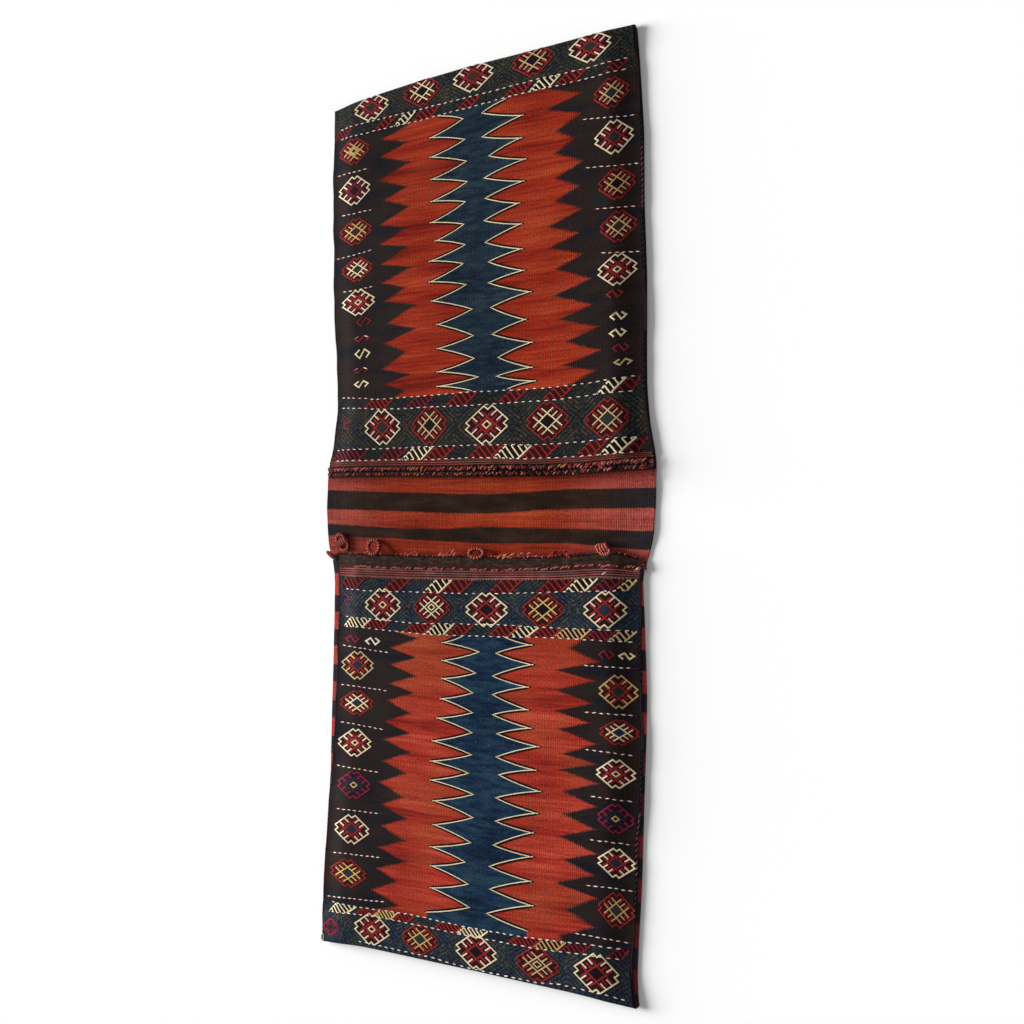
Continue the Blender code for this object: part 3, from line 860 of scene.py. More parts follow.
def ridge(shape, lay, path, width, height, colour, closed=False, step=7.0, tips=False):
    """A low rounded strip of yarn laid along a path of table points."""
    points = dense(path, step, closed)
    ahead = np.roll(points, -1, axis=0) - points
    ahead /= np.linalg.norm(ahead, axis=1)[:, None] + 1e-9
    behind = np.roll(ahead, 1, axis=0)
    if not closed:
        ahead[-1] = ahead[-2]
        behind[0] = ahead[0]
    side_ahead = np.stack([-ahead[:, 1], ahead[:, 0]], axis=1)
    side_behind = np.stack([-behind[:, 1], behind[:, 0]], axis=1)
    side = side_ahead + side_behind
    side /= np.linalg.norm(side, axis=1)[:, None] + 1e-9
    stretch = 1.0 / np.clip(np.sum(side * side_ahead, axis=1), 0.55, 1.0)
    side *= stretch[:, None]
    widths = np.full(len(points), float(width))
    if tips:
        widths[0] *= 0.35
        widths[-1] *= 0.35
    rings = []
    for place, across in RIDGE_PROFILE:
        lift = RIDGE_ROOT if across is None else height * across
        at = points + side * (place * widths)[:, None]
        rings.append(lay(at[:, 0], at[:, 1], lift))
    rings = np.stack(rings, axis=1)
    shape.rings(list(rings), DYES[colour], closed)


def fill(shape, lay, outline, colour, lift=0.22, step=6.0):
    """A flat field of colour laid inside a star-shaped outline."""
    rim = dense(outline, step, True)
    centre = rim.mean(axis=0)
    count = max(2, math.ceil(np.linalg.norm(rim - centre, axis=1).max() / step))
    points = [centre[None, :]]
    for ring in range(1, count + 1):
        points.append(centre + (rim - centre) * ring / count)
    flat = np.concatenate(points)
    laid = lay(flat[:, 0], flat[:, 1], lift)
    size = len(rim)
    faces = []
    for k in range(size):
        m = (k + 1) % size
        faces.append((0, 1 + k, 1 + m))
        for ring in range(count - 1):
            near, far = 1 + ring * size, 1 + (ring + 1) * size
            faces.append((near + k, far + k, far + m, near + m))
    area = sum(rim[k][0] * rim[(k + 1) % size][1] - rim[(k + 1) % size][0] * rim[k][1]
               for k in range(size))
    if area < 0:
        faces = [tuple(reversed(face)) for face in faces]
    shape.add([tuple(p) for p in laid], faces, colour)


def dashes(shape, lay, path, pitch=12.4, length=5.6, width=1.9, colours=("white", "white", "blush")):
    """Outlining stitches along a path: short dashes that stand proud of the weave."""
    points = dense(path, 2.0)
    steps = np.linalg.norm(np.diff(points, axis=0), axis=1)
    run = np.concatenate([[0.0], np.cumsum(steps)])
    at = pitch * 0.4
    while at + length < run[-1]:
        span = (at, at + length * random.uniform(0.85, 1.15))
        ends = [(np.interp(s, run, points[:, 0]), np.interp(s, run, points[:, 1])) for s in span]
        ends[0] = (ends[0][0], ends[0][1] + random.uniform(-0.5, 0.5))
        ends[1] = (ends[1][0], ends[1][1] + random.uniform(-0.5, 0.5))
        tint = random.choice(colours)
        ridge(shape, lay, ends, width, 0.9, tint, step=4.0, tips=True)
        at += pitch * random.uniform(0.94, 1.06)


# Woven cloth


# Furthest apart that two rows of points are, in millimetres, and how many rows go round a fold
FRONT_STEP = 6.5
BRIDGE_STEP = 5.0
BACK_STEP = 15.0
FOLD_ROWS = 10


def tooth_rows(pouch, *edges):
    """Rows of the weave at the teeth of both fields, and the edges in those rows."""
    woven = [[(pouch.woven(x, y), x) for y, x in seen_teeth(edge)] for edge in edges]
    rows = sorted(row for edge in woven for row, _ in edge)
    merged = []
    for row in rows:
        if not merged or row - merged[-1] > 0.0022:
            merged.append(row)
    snapped = []
    for edge in woven:
        near = {}
        for row, x in edge:
            near[min(merged, key=lambda m: abs(m - row))] = x
        snapped.append(sorted(near.items()))
    return merged, snapped


def row_stations(pouch, teeth):
    """Rows of a front's grid: its woven lines, its teeth, and others so that none is far."""
    lines = [float(number) for number in range(len(pouch.lines))]
    fixed = sorted(set(lines + [tooth for tooth in teeth if 4.0 < tooth < 5.0]))
    rows = []
    for low, high in zip(fixed, fixed[1:]):
        if high - low < 1e-6:
            continue
        gap = abs(pouch.level(high) - pouch.level(low))
        parts = max(1, math.ceil(gap / FRONT_STEP))
        rows.extend(low + (high - low) * k / parts for k in range(parts))
    return rows


SEEN_MEDALLIONS = [(*seen(x, y), wide, high) for x, y, wide, high, *_ in MEDALLIONS]


def rings_round(x, y):
    """How many half sizes of the nearest medallion lie between each place and its centre."""
    return np.min([np.abs(x - cx) / wide + np.abs(y - cy) / high
                   for cx, cy, wide, high in SEEN_MEDALLIONS], axis=0)


def station(points, x, y, level, blue=-0.1, red=-0.1):
    """One row of the cloth: points, resting places, distances into both fields, and rings.

    A distance is in metres and below 0 outside its field.
    """
    rest = np.stack([x / 1000, np.full_like(x, level / 1000), np.zeros_like(x)], axis=-1)
    return (points, rest, np.broadcast_to(blue, x.shape), np.broadcast_to(red, x.shape),
            rings_round(x, y))


def front_station(pouch, row, edges):
    """A row of a front; edges are the left and right of the blue field, then of the red one."""
    number = min(int(row), len(pouch.lines) - 2)
    share = row - number
    level = pouch.level(row)
    y = np.full_like(ACROSS, level)
    for _ in range(3):
        x = mix(*front_sides(y), ACROSS)
        rise = rise_at(x, y)
        y = mix(pouch.line(number, x, rise), pouch.line(number + 1, x, rise), share)
    points = placed(x, y, front_height(pouch, x, y, rise_at(x, y)))
    blue_left, blue_right, red_left, red_right = (knots(edge, row) for edge in edges)
    return station(points, x, y, level, np.minimum(x - blue_left, blue_right - x) / 1000,
                   np.minimum(x - red_left, red_right - x) / 1000)


def fold_station(pouch, turn):
    """A row of a fold, turn going from 0 at the front to 1 at the back."""
    y = np.full_like(ACROSS, pouch.side * 650.0)
    for _ in range(2):
        left, right = front_sides(y)
        back_left, back_right = back_sides(y)
        x = mix(mix(left, back_left, turn), mix(right, back_right, turn), ACROSS)
        front_x = mix(left, right, ACROSS)
        rise = side_rise(front_x, left, right)
        y = pouch.fold_start(front_x, rise)
    radius = pouch.radius(rise)
    angle = math.pi * turn
    points = placed(x, y + pouch.side * radius * math.sin(angle),
                    HALF_CLOTH + radius * (1 + math.cos(angle)))
    return station(points, x, y, float(np.mean(y)) + pouch.side * 6.0 * angle)


# How far the stripes lie above their named rows at the left side and at the right: (y, distance)
LEFT_SHIFT = ((-100, 0), (-200, 8), (-640, 9))
RIGHT_SHIFT = ((-80, -6), (-150, -11), (-230, -13), (-300, -10), (-400, -5), (-540, 3))


def back_rows():
    """Named rows of the back from the upper fold to the lower one."""
    top, bottom = BACK_ENDS
    fixed = {top, *BRIDGE_ROWS, bottom}
    for y, side in ((BRIDGE_ROWS[0], 1), (BRIDGE_ROWS[-1], -1)):
        while bottom < y < top:
            y += side * DARK_STRIPE
            fixed.add(y)
            y += side * (STRIPE_PITCH - DARK_STRIPE)
            fixed.add(y)
    fixed = sorted((row for row in fixed if bottom - 0.5 < row < top + 0.5), reverse=True)
    rows = []
    for high, low in zip(fixed, fixed[1:]):
        parts = max(1, math.ceil((high - low) / (BRIDGE_STEP if -90 < high < 80 else BACK_STEP)))
        rows.extend(high + (low - high) * k / parts for k in range(parts))
    rows.append(fixed[-1])
    return rows


def back_station(row):
    """A row of the back: near the bridge it follows the stripes' lines, near a fold the fold."""
    y = np.full_like(ACROSS, row)
    for _ in range(2):
        left, right = back_sides(y)
        x = mix(left, right, ACROSS)
        lines = [rounded(line, x, 12.0) - named
                 for line, named in zip(BRIDGE_LINES, BRIDGE_ROWS)]
        offsets = np.array([np.interp(row, BRIDGE_ROWS[::-1], [line[i] for line in lines][::-1])
                            for i in range(len(x))])
        past = max(row - BRIDGE_ROWS[0], BRIDGE_ROWS[-1] - row, 0.0)
        near_bridge = 1 - smooth(past / 80.0)
        slope = 0.0
        if row < 0:
            slope = mix(knots(LEFT_SHIFT, row), knots(RIGHT_SHIFT, row), ACROSS)
        y = row + offsets * near_bridge + slope * (1 - near_bridge)
    pouch, end = (UPPER, BACK_ENDS[0]) if row > 0 else (LOWER, BACK_ENDS[1])
    start = pouch.fold_start(x, side_rise(x, left, right))
    y = y + (start - end) * smooth((abs(row) - 400.0) / 236.0)
    return station(placed(x, y, bridge_height(x, y)), x, y, row)


def build_cloth(materials):
    """The woven strip as one closed sheet: front, fold, back, fold and front."""
    sheets = []
    for pouch, edges in ((UPPER, UPPER_TEETH), (LOWER, LOWER_TEETH)):
        rows = row_stations(pouch, edges[0])
        kind = 0 if pouch is UPPER else 1
        sheet = [(front_station(pouch, row, edges[1]), kind) for row in rows]
        sheet += [(fold_station(pouch, turn / FOLD_ROWS), kind) for turn in range(FOLD_ROWS)]
        sheets.append(sheet)
    back = [(back_station(row), 2) for row in back_rows()]
    strip = sheets[0] + back + sheets[1][::-1]
    stations = [made for made, _ in strip]
    points = np.array([s[0] for s in stations])
    along = np.gradient(points, axis=0)
    across = np.gradient(points, axis=1)
    normal = np.cross(along, across)
    normal /= np.linalg.norm(normal, axis=2)[:, :, None] + 1e-12
    if normal[5, COLUMNS // 2, 2] < 0:
        normal = -normal
    outer = points + normal * HALF_CLOTH / 1000
    inner = points - normal * HALF_CLOTH / 1000
    rows, columns = points.shape[:2]
    size = rows * columns
    faces, slots = [], []
    for i in range(rows - 1):
        for j in range(columns - 1):
            a, b = i * columns + j, (i + 1) * columns + j
            faces.append((a, b, b + 1, a + 1))
            kind = strip[i][1] if strip[i][1] == strip[i + 1][1] else 2
            slots.append(kind)
            faces.append((size + a, size + a + 1, size + b + 1, size + b))
            slots.append(2 if kind == 2 else 3)
    for i in range(rows - 1):
        for j, flip in ((0, False), (columns - 1, True)):
            a, b = i * columns + j, (i + 1) * columns + j
            face = (a, size + a, size + b, b)
            faces.append(face[::-1] if flip else face)
            slots.append(strip[i][1])
    for i, flip in ((0, True), (rows - 1, False)):
        for j in range(columns - 1):
            a = i * columns + j
            face = (a, size + a, size + a + 1, a + 1)
            faces.append(face if flip else face[::-1])
            slots.append(strip[i][1])
    mesh = bpy.data.meshes.new("kilim_cloth")
    mesh.from_pydata(np.concatenate([outer.reshape(-1, 3), inner.reshape(-1, 3)]).tolist(), [],
                     faces)
    mesh.polygons.foreach_set("material_index", slots)
    for name, index, width in (("rest", 1, 3), ("blue", 2, 1), ("red", 3, 1), ("ring", 4, 1)):
        values = np.array([s[index] for s in stations], np.float32).reshape(size, width)
        values = np.concatenate([values, values]).ravel()
        if width == 3:
            mesh.attributes.new(name, "FLOAT_VECTOR", "POINT").data.foreach_set("vector", values)
        else:
            mesh.attributes.new(name, "FLOAT", "POINT").data.foreach_set("value", values)
    return smooth_piece(mesh, materials)


# Woven figures

PALE = ("cream", "beige", "ochre", "yellow")
RUNG_STEEPNESS = 1.25
LADDER_GROUND = {"red": dye(52, 16, 16), "wine": dye(42, 16, 18)}
MEDALLION_GROUND = {"red": dye(52, 18, 18), "magenta": dye(48, 16, 24)}


def turned(p, q, quarter):
    for _ in range(quarter):
        p, q = q, -p
    return p, q


def medallion(shape, lay, x, y, half_width, half_height, outline, comb, core, centre):
    """Diamond with notched corners, teeth pointing in from it and out from an inner diamond."""
    notch = 0.30
    across, up = half_width / (2 - notch), half_height / (2 - notch)
    lean = random.uniform(-0.06, 0.06)
    skew = [random.uniform(-0.03, 0.03) for _ in range(4)]

    def at(p, q):
        rise = (p + q) * up
        return x + (p - q) * across + lean * rise, y + rise

    rim = []
    for quarter in range(4):
        deep = notch + skew[quarter]
        corner = [(1 - deep, 1.0), (1 - deep, 1 - deep), (1.0, 1 - deep)]
        rim.extend(at(*turned(p, q, quarter)) for p, q in corner)
    fill(shape, lay, rim, MEDALLION_GROUND.get(outline, DYES["body"]))
    inset = [(x + (px - x) * 0.96, y + (py - y) * 0.96) for px, py in rim]
    ridge(shape, lay, inset, 2.4, 0.6, outline, closed=True)
    tooth_dye = "blush" if outline == "cream" else outline
    ring, arm = 0.34, 0.80
    bar = 2.3 if comb in PALE else 3.0
    for quarter in range(4):
        for t in (-0.22, 0.22):
            root = t * 1.05
            ridge(shape, lay, [at(*turned(root, 0.95, quarter)), at(*turned(t, 0.52, quarter))],
                  2.6, 0.6, tooth_dye)
        ridge(shape, lay, [at(*turned(-arm, ring, quarter)), at(*turned(arm, ring, quarter))],
              bar, 0.55, comb)
        ridge(shape, lay, [at(*turned(0.0, ring, quarter)), at(*turned(0.0, 0.78, quarter))],
              bar, 0.5, comb)
    inner = [at(*turned(0.27, 0.27, quarter)) for quarter in range(4)]
    fill(shape, lay, inner, DYES[core], 0.32)
    if centre:
        small = [at(*turned(0.16, 0.16, quarter)) for quarter in range(4)]
        fill(shape, lay, small, DYES["body"], 0.42)
        ridge(shape, lay, small, 2.2, 0.8, centre, closed=True)


def ladder(shape, lay, pouch, low, high, left, right, colour):
    """Slanting comb between two woven lines: a rail, the rungs that reach it and their feet."""
    def level(number, x):
        return float(pouch.line(number, x, 1.0))

    height = level(high, left) - level(low, left)
    spread = max((right - left) - height * 1.15, 12.0)
    run = right - left - spread
    margin = 0.5

    def at(s, t):
        x = left + t * run + s * spread
        y = mix(level(low, x) + margin, level(high, x) - margin, t)
        sides = front_sides(y)
        return float(np.clip(x, sides[0] + 2.5, sides[1] - 2.5)), y

    ridge_width = 2.8
    fill(shape, lay, [at(0, 0), at(1, 0), at(1, 1), at(0, 1)],
         LADDER_GROUND.get(colour, DYES["black"]), 0.20)
    ridge(shape, lay, [at(1, 0), at(1, 1)], ridge_width, 0.6, colour)
    slope = RUNG_STEEPNESS * spread / (height + RUNG_STEEPNESS * run)
    rung_pitch = 0.30
    first = random.uniform(-0.02, 0.05)
    for step in range(8):
        start = first + step * rung_pitch
        ends = []
        for s, t in ((0.0, start), (1.0, start - slope)):
            clipped = min(max(t, 0.0), 1.0)
            ends.append(((start - clipped) / slope, clipped))
        (s0, t0), (s1, t1) = ends
        if s1 - s0 > 0.12:
            ridge(shape, lay, [at(s0, t0), at(s1, t1)], ridge_width, 0.55, colour)
        if start < 0.95:
            foot = max(start - rung_pitch * 0.62, 0.0)
            ridge(shape, lay, [at(0.0, foot), at(0.0, max(start, 0.04))], ridge_width, 0.5, colour)


def zigzag(shape, lay, edge, outward):
    """Cream outline of the blue field with a black line on its red side."""
    points = [np.array([x, y], float) for y, x in edge]
    for start, end in zip(points, points[1:]):
        along = (end - start) / np.linalg.norm(end - start)
        to_tip = (end[0] - start[0]) * outward > 0
        tip, root = (end, start) if to_tip else (start, end)
        ahead = along if to_tip else -along
        side = np.array([-ahead[1], ahead[0]])
        if side[0] * outward < 0:
            side = -side
        bow = side * -1.6
        middle = (root + tip) / 2 + bow
        near, far = (root + middle) / 2 + bow * 0.25, (middle + tip) / 2 + bow * 0.25
        line = [root - ahead * 1.0, near, middle, far, tip + ahead * 3.0]
        ridge(shape, lay, line, 1.6, 0.7, "cream", tips=True)
        line = [root + side * 1.5, near + side * 2.1, middle + side * 2.2, far + side * 2.2,
                tip + side * 1.4 + ahead * 5.0]
        ridge(shape, lay, line, 2.9, 0.4, "black", tips=True)


HOOK_CURVE = ((-0.40, 0.95), (-1.0, 0.05), (-0.38, -1.0), (0.28, 0.95), (1.0, 0.0), (0.48, -1.0))
LIGHTNING_CURVE = ((-0.9, 1.0), (0.2, 0.5), (1.0, 0.0), (-0.7, -0.15), (-0.3, -0.9), (0.6, -0.95))


def hook(shape, lay, x, y, half_width, half_height, hand, colour, second):
    """Small figure like an S that lies on its side."""
    path = [(x + hand * a * half_width, y + b * half_height) for a, b in HOOK_CURVE]
    ridge(shape, lay, path, 2.8, 0.7, colour, step=5.0)
    if second != colour:
        for number in (0, 3):
            a, b = np.array(path[number]), np.array(path[number + 1])
            ridge(shape, lay, [a + (b - a) * 0.1, a + (b - a) * 0.75], 2.5, 1.0, second,
                  tips=True)


def lightning(shape, lay, x, y, half_width, half_height):
    path = [(x + a * half_width, y + b * half_height) for a, b in LIGHTNING_CURVE]
    ridge(shape, lay, path, 1.7, 0.6, "magenta", step=5.0)


def build_figures(pouch, guards, edges, name, material):
    shape = Shape()

    def lay(x, y, lift):
        return on_front(pouch, x, y, lift)

    def lay_seen(x, y, lift):
        return on_front(pouch, *seen(x, y), lift)

    for low, high, motifs in guards:
        for left, right, colour in motifs:
            y = float(pouch.line(low, (left + right) / 2, 1.0))
            ladder(shape, lay, pouch, low, high, seen(left, y)[0], seen(right, y)[0], colour)
    for x, y, *entry in MEDALLIONS:
        if y * pouch.side > 0:
            medallion(shape, lay_seen, x, y, *entry)
    for x, y, *entry in HOOKS:
        if y * pouch.side > 0:
            hook(shape, lay_seen, x, y, *entry)
    for x, y, *entry in LIGHTNINGS:
        if y * pouch.side > 0:
            lightning(shape, lay_seen, x, y, *entry)
    for x0, y0, x1, y1 in SEPARATORS:
        if y0 * pouch.side > 0:
            ridge(shape, lay_seen, [(x0, y0), (x1, y1)], 0.8, 0.3, "wine")
            dashes(shape, lay_seen, [(x0, y0), (x1, y1)], 10.4)
    run = np.linspace(-262 if pouch is UPPER else -247, 268, 60)
    for number in range(1, 7):
        y = [float(pouch.line(number, x, 1.0)) for x in run]
        inside = [(x, level) for x, level in zip(run, y)
                  if front_sides(level)[0] + 3 < x < front_sides(level)[1] - 3]
        if pouch is LOWER and number == 1:
            dashes(shape, lay, inside, 5.0, 2.6, 1.4, ("blush", "beige", "cream"))
        else:
            dashes(shape, lay, inside, 12.4 if number < 5 else 11.4)
    if pouch is LOWER:
        dashes(shape, lay_seen, FOLD_DASHES, 12.0)
    zigzag(shape, lay_seen, edges[0], -1)
    zigzag(shape, lay_seen, edges[1], 1)
    return shape.finish(name, material)


# Yarn trims

# Height above the floor of the plane that the tables' places are seen on
SEEN_HEIGHT = 4.0
# One turn of a curl, in radians
TURN = 6.28

TRIM_WOOL = yarn_wool("trim_wool", 900.0, 0.7)


def attach(piece):
    """Gives a piece the body that it rides."""
    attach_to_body(piece, "root")


def trim(shape, name):
    """Makes yarn into one piece that takes the place of the solid of the same name."""
    piece = shape.finish(name, TRIM_WOOL)
    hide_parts(name)
    attach(piece)


def sighted(x, y, z):
    """Point at a height above the floor that covers the place (x, y) of the tables."""
    lift = z - SEEN_HEIGHT
    return placed(x + lift * (EYE[0] - x) / EYE[2], y + lift * (EYE[1] - y) / EYE[2], z)


def resampled(path, step):
    path = np.asarray(path, float)
    run = np.concatenate([[0.0], np.cumsum(np.linalg.norm(np.diff(path, axis=0), axis=1))])
    count = max(2, int(run[-1] / step))
    at = np.linspace(0.0, run[-1], count + 1)
    return np.stack([np.interp(at, run, path[:, k]) for k in range(3)], axis=1), at


def frames(path):
    along = np.gradient(path, axis=0)
    along /= np.linalg.norm(along, axis=1)[:, None] + 1e-12
    up = np.array([0.0, 0.0, 1.0])
    side = np.cross(up, along)
    side /= np.linalg.norm(side, axis=1)[:, None] + 1e-12
    return side, np.cross(along, side)


def twisted(shape, path, yarn_radius, lay_radius, pitch, colours, hand=1, flat=1.0):
    """Strands laid round each other along a path, in metres.

    Colours has one row for each strand, which changes colour along its length.
    """
    path, run = resampled(path, pitch / 9)
    side, up = frames(path)
    for index, names in enumerate(colours):
        phase = hand * run / pitch * 2 * math.pi + index * 2 * math.pi / len(colours)
        offset = lay_radius * (np.cos(phase)[:, None] * side + flat * np.sin(phase)[:, None] * up)
        strand = path + offset
        cuts = [round(i * (len(strand) - 1) / len(names)) for i in range(len(names) + 1)]
        for name, start, end in zip(names, cuts, cuts[1:]):
            if end - start > 1:
                shape.strand(strand[start:end + 1], yarn_radius, DYES[name])


def stitch(shape, start, end, radius, bow, tint):
    """A short strand over the work, highest at its middle; points and sizes in metres."""
    start, end = np.asarray(start), np.asarray(end)
    path = []
    for t in (0.0, 0.25, 0.5, 0.75, 1.0):
        point = mix(start, end, t)
        point[2] += bow * (1 - (2 * t - 1) ** 2)
        path.append(point)
    shape.strand(path, radius, DYES[tint], 6, shares=(0.6, 0.9, 1.0, 0.9, 0.6))


def curl(shape, centre, size, turns, radius, tint):
    """A loose end of yarn that curls in the air just over a point, in metres."""
    first = random.uniform(0.0, TURN)
    path = []
    for t in np.linspace(0.0, 1.0, 12):
        angle = first + t * turns * TURN
        reach = size * (1.0 - 0.4 * t)
        path.append(centre + np.array([reach * math.cos(angle), reach * 0.7 * math.sin(angle),
                                       0.0012 * math.sin(angle * 0.7)]))
    shape.strand(path, radius, DYES[tint], 5)


def along_mouth(pouch, offset, height, reach, step=4.0):
    """Points beyond a mouth's edge, at a height above the floor."""
    points = []
    for x in np.arange(reach[0], reach[1] + step / 2, step):
        rise = float(rise_at(x, float(pouch.line(0, x, 1.0))))
        y = float(pouch.line(0, x, rise))
        z = float(front_height(pouch, x, y, rise)) - HALF_CLOTH + height
        points.append(placed(x, y - pouch.side * offset, z))
    return np.array(points)


def build_selvedge(pouch, hand, name):
    """Thin dark cord that closes the side of a pouch."""
    shape = Shape()
    points = []
    start = float(pouch.line(0, hand * 264.0, 0.0)) + pouch.side * 2.0
    end = float(pouch.fold_start(hand * 260.0, 0.0))
    for share in np.linspace(0.004, 0.997, 170):
        y = mix(start, end, share)
        left, right = front_sides(y)
        edge = left if hand < 0 else right
        wobble = 0.2 * math.sin(y / 7.0) + 0.2 * math.sin(y / 17.0)
        x = edge + hand * (1.6 + wobble)
        points.append(placed(x, y, CLOTH + 1.9 + 0.2 * wobble))
    twisted(shape, points, 0.0010, 0.0007, 0.0075, (
        ("slate", "plum", "slate", "black", "plum"),
        ("plum", "black", "slate", "black", "mauve", "slate", "plum")), hand)
    if pouch is UPPER and hand > 0:
        corner = points[-1] + np.array([0.0005, 0.002, 0.001])
        shape.strand([corner, corner + np.array([0.001, 0.001, 0.002])], 0.0020, DYES["slate"])
    trim(shape, name)


PLAIT_TINTS = (
    (-270, ("pink", "rose", "mauve", "pink")), (-180, ("pink", "apricot", "rose", "mauve")),
    (-120, ("apricot", "rose", "apricot", "plum")), (-60, ("rose", "pink", "apricot", "rose")),
    (-20, ("apricot", "apricot", "pink", "rose")), (60, ("apricot", "pink", "rose", "rose")),
    (100, ("pink", "rose", "mauve", "plum")), (130, ("apricot", "pink", "navy", "rose")),
    (200, ("apricot", "rose", "black", "pink")), (240, ("pink", "mauve", "mauve", "rose")),
    (262, ("apricot", "pink", "rose", "pink")),
)


def tint_at(tints, x):
    """A random colour from those named for the stretch that x lies in."""
    named = [colours for start, colours in tints if start <= x]
    return random.choice(named[-1] if named else tints[0][1])


def flecks(shape, path, tints, pitch, size, radius, proud, skip):
    """Slanting stitches wrapped over a dark cord, in metres."""
    path, run = resampled(path, 0.0008)
    at = pitch
    while at < run[-1] - pitch:
        point = np.array([np.interp(at, run, path[:, k]) for k in range(3)])
        tint = tint_at(tints, point[0] * 1000 - SHIFT[0])
        if random.random() > skip:
            grow = random.uniform(0.7, 1.15) * (1.35 if point[0] > 0.12 else 1.0)
            lean = random.uniform(0.6, 1.3)
            half = np.array([size[0] * grow, size[1] * grow * lean, 0.0])
            point[2] += proud
            point[1] += random.uniform(-0.0008, 0.0008)
            stitch(shape, point - half, point + half, radius * grow, 0.0012, tint)
        at += pitch * random.uniform(0.7, 1.3)


def build_plait(row):
    """Dark flat cord with coloured stitches over it."""
    shape = Shape()
    path = along_mouth(UPPER, 4.6 + row * 8.2, 3.0, (-266.0, 284.0))
    twisted(shape, path, 0.0024, 0.0019, 0.012, (
        ("umber", "plum", "umber", "brown"), ("plum", "umber", "black", "plum")), flat=0.5)
    if row == 0:
        flecks(shape, path, PLAIT_TINTS, 0.0042, (0.0021, 0.0017), 0.00085, 0.0031, 0.12)
        flecks(shape, path - np.array([0.0, 0.0026, 0.0]), PLAIT_TINTS, 0.0085,
               (0.0016, 0.0012), 0.0007, 0.0028, 0.35)
    else:
        flecks(shape, path, PLAIT_TINTS, 0.0050, (0.0017, 0.0014), 0.00075, 0.0031, 0.30)
        for x, y in ((-37, 46.5), (20, 46), (180, 49), (211, 47)):
            curl(shape, sighted(x, y - 1.0, 16.0), 0.0024, 0.8, 0.0005, "dusk")
        for x, y in ((170, 40.5), (181, 49), (212, 47.5)):
            curl(shape, sighted(x, y, 17.5), 0.0040, 0.8, 0.0008, "apricot")
        for x in range(262, 284, 3):
            curl(shape, sighted(x, random.uniform(42.0, 52.0), mix(12.5, 7.0, (x - 262) / 22)),
                 0.0028, 0.9, 0.0010,
                 random.choice(("apricot", "pink", "rose", "mauve")))
        for x, y in ((143, 49), (227, 44)):
            centre = sighted(x, y, 16.5)
            shape.strand([centre, centre + np.array([0.006, 0.001, 0.0])], 0.0034, DYES["black"])
        for y in range(30, 58, 3):
            end = sighted(288.0, y, 7.0)
            stitch(shape, end - np.array([0.004, 0.001, 0.0]), end, 0.0009, 0.001,
                   random.choice(("mauve", "plum", "slate")))
    trim(shape, f"upper_mouth_plait_{row + 1}")


EDGE_TINTS = (
    (-260, ("rose", "pink", "plum", "wine")), (-150, ("brown", "rose", "plum")),
    (-125, ("pink", "orange", "rose")), (-85, ("rose", "plum", "black")),
    (-60, ("pink", "rose", "pink")), (-20, ("rose", "plum", "wine")),
    (35, ("rose", "orange", "pink")), (80, ("pink", "rose", "orange")),
    (140, ("wine", "rose", "plum")), (170, ("black", "brown", "plum")),
    (240, ("rose", "wine", "pink")),
)


def build_edge_cord_with_painted_shadow():
    """Thin dark cord on the lower mouth's edge, with a knot and a wrapped loop at its right; its
    black and plum are partly the cord's own yarn and partly painted shadow under the edge.
    """
    shape = Shape()
    path = along_mouth(LOWER, 1.2, 2.3, (-246.0, 268.0))
    # Black and plum: partly the cord's own dark yarn, partly a painted shadow line along the mouth's
    # edge.
    twisted(shape, path, 0.0008, 0.0005, 0.0095, (("black", "plum"), ("plum", "black")))
    fringe = path + np.array([0.0, 0.0016, 0.0])
    flecks(shape, fringe, EDGE_TINTS, 0.0034, (0.0015, 0.0010), 0.0008, 0.0006, 0.25)
    for number in range(7):
        place = sighted(271.5 + 0.5 * number, -82.0 - 1.9 * number, 4.4)
        half = np.array([0.0024, 0.0012, 0.0])
        stitch(shape, place - half, place + half, 0.0009, 0.0016,
               ("brick", "plum", "rose", "plum")[number % 4])
    for number in range(5):
        curl(shape, sighted(263.0 + number - 2.0, -92.8 + 0.5 * number, 7.6), 0.0022, 1.0,
             0.0008, ("pink", "rose", "pink", "blush")[number % 4])
    stitch(shape, sighted(211.0, -98.5, 16.0), sighted(217.0, -95.0, 16.0), 0.0005, 0.001, "white")
    trim(shape, "lower_mouth_edge_cord")


def build_overcast():
    """Slanting stitches in small groups, sewn over the lower mouth's hem."""
    shape = Shape()
    x = -240.0
    left_in_group = 6
    while x < 258:
        y = float(np.interp(x, (-246, -102, 0, 52, 123, 192, 257, 273),
                            (-81, -86.5, -89, -91, -90, -85, -89.5, -92)))
        y += random.uniform(-1.0, 1.0)
        tints = ("mauve", "dusk") if x < -212 else ("pink", "pink", "rose", "pink")
        half_x = random.uniform(1.3, 2.1)
        half_y = random.uniform(1.0, 1.7)
        place = seen(x, y)
        path = [on_front(LOWER, place[0] + t * half_x, place[1] + t * half_y, 0.9 - 0.9 * t * t)
                for t in (-1.0, -0.5, 0.0, 0.5, 1.0)]
        shape.strand(path, 0.0008, DYES[random.choice(tints)], 6,
                     shares=(0.6, 0.9, 1.0, 0.9, 0.6))
        left_in_group -= 1
        x += random.uniform(3.2, 4.6)
        if left_in_group == 0:
            left_in_group = random.randint(3, 9)
            x += random.uniform(3.0, 9.0)
    trim(shape, "lower_mouth_overcast_row")


# Closing loops: centre, half width, half length, lean of the loop, its core and its two tints
CLOSING_LOOPS = (
    (-238.0, -44.0, 13.5, 15.5, -0.35, ("wine", "pink", "apricot")),
    (-176.0, -53.0, 13.5, 13.5, 0.0, ("wine", "pink", "apricot")),
    (10.5, -66.0, 15.0, 9.5, 0.0, ("wine", "apricot", "pink")),
    (213.0, -64.5, 13.0, 9.5, -0.3, ("wine", "apricot", "pink")),
)
LOOP_TUBE = 3.2


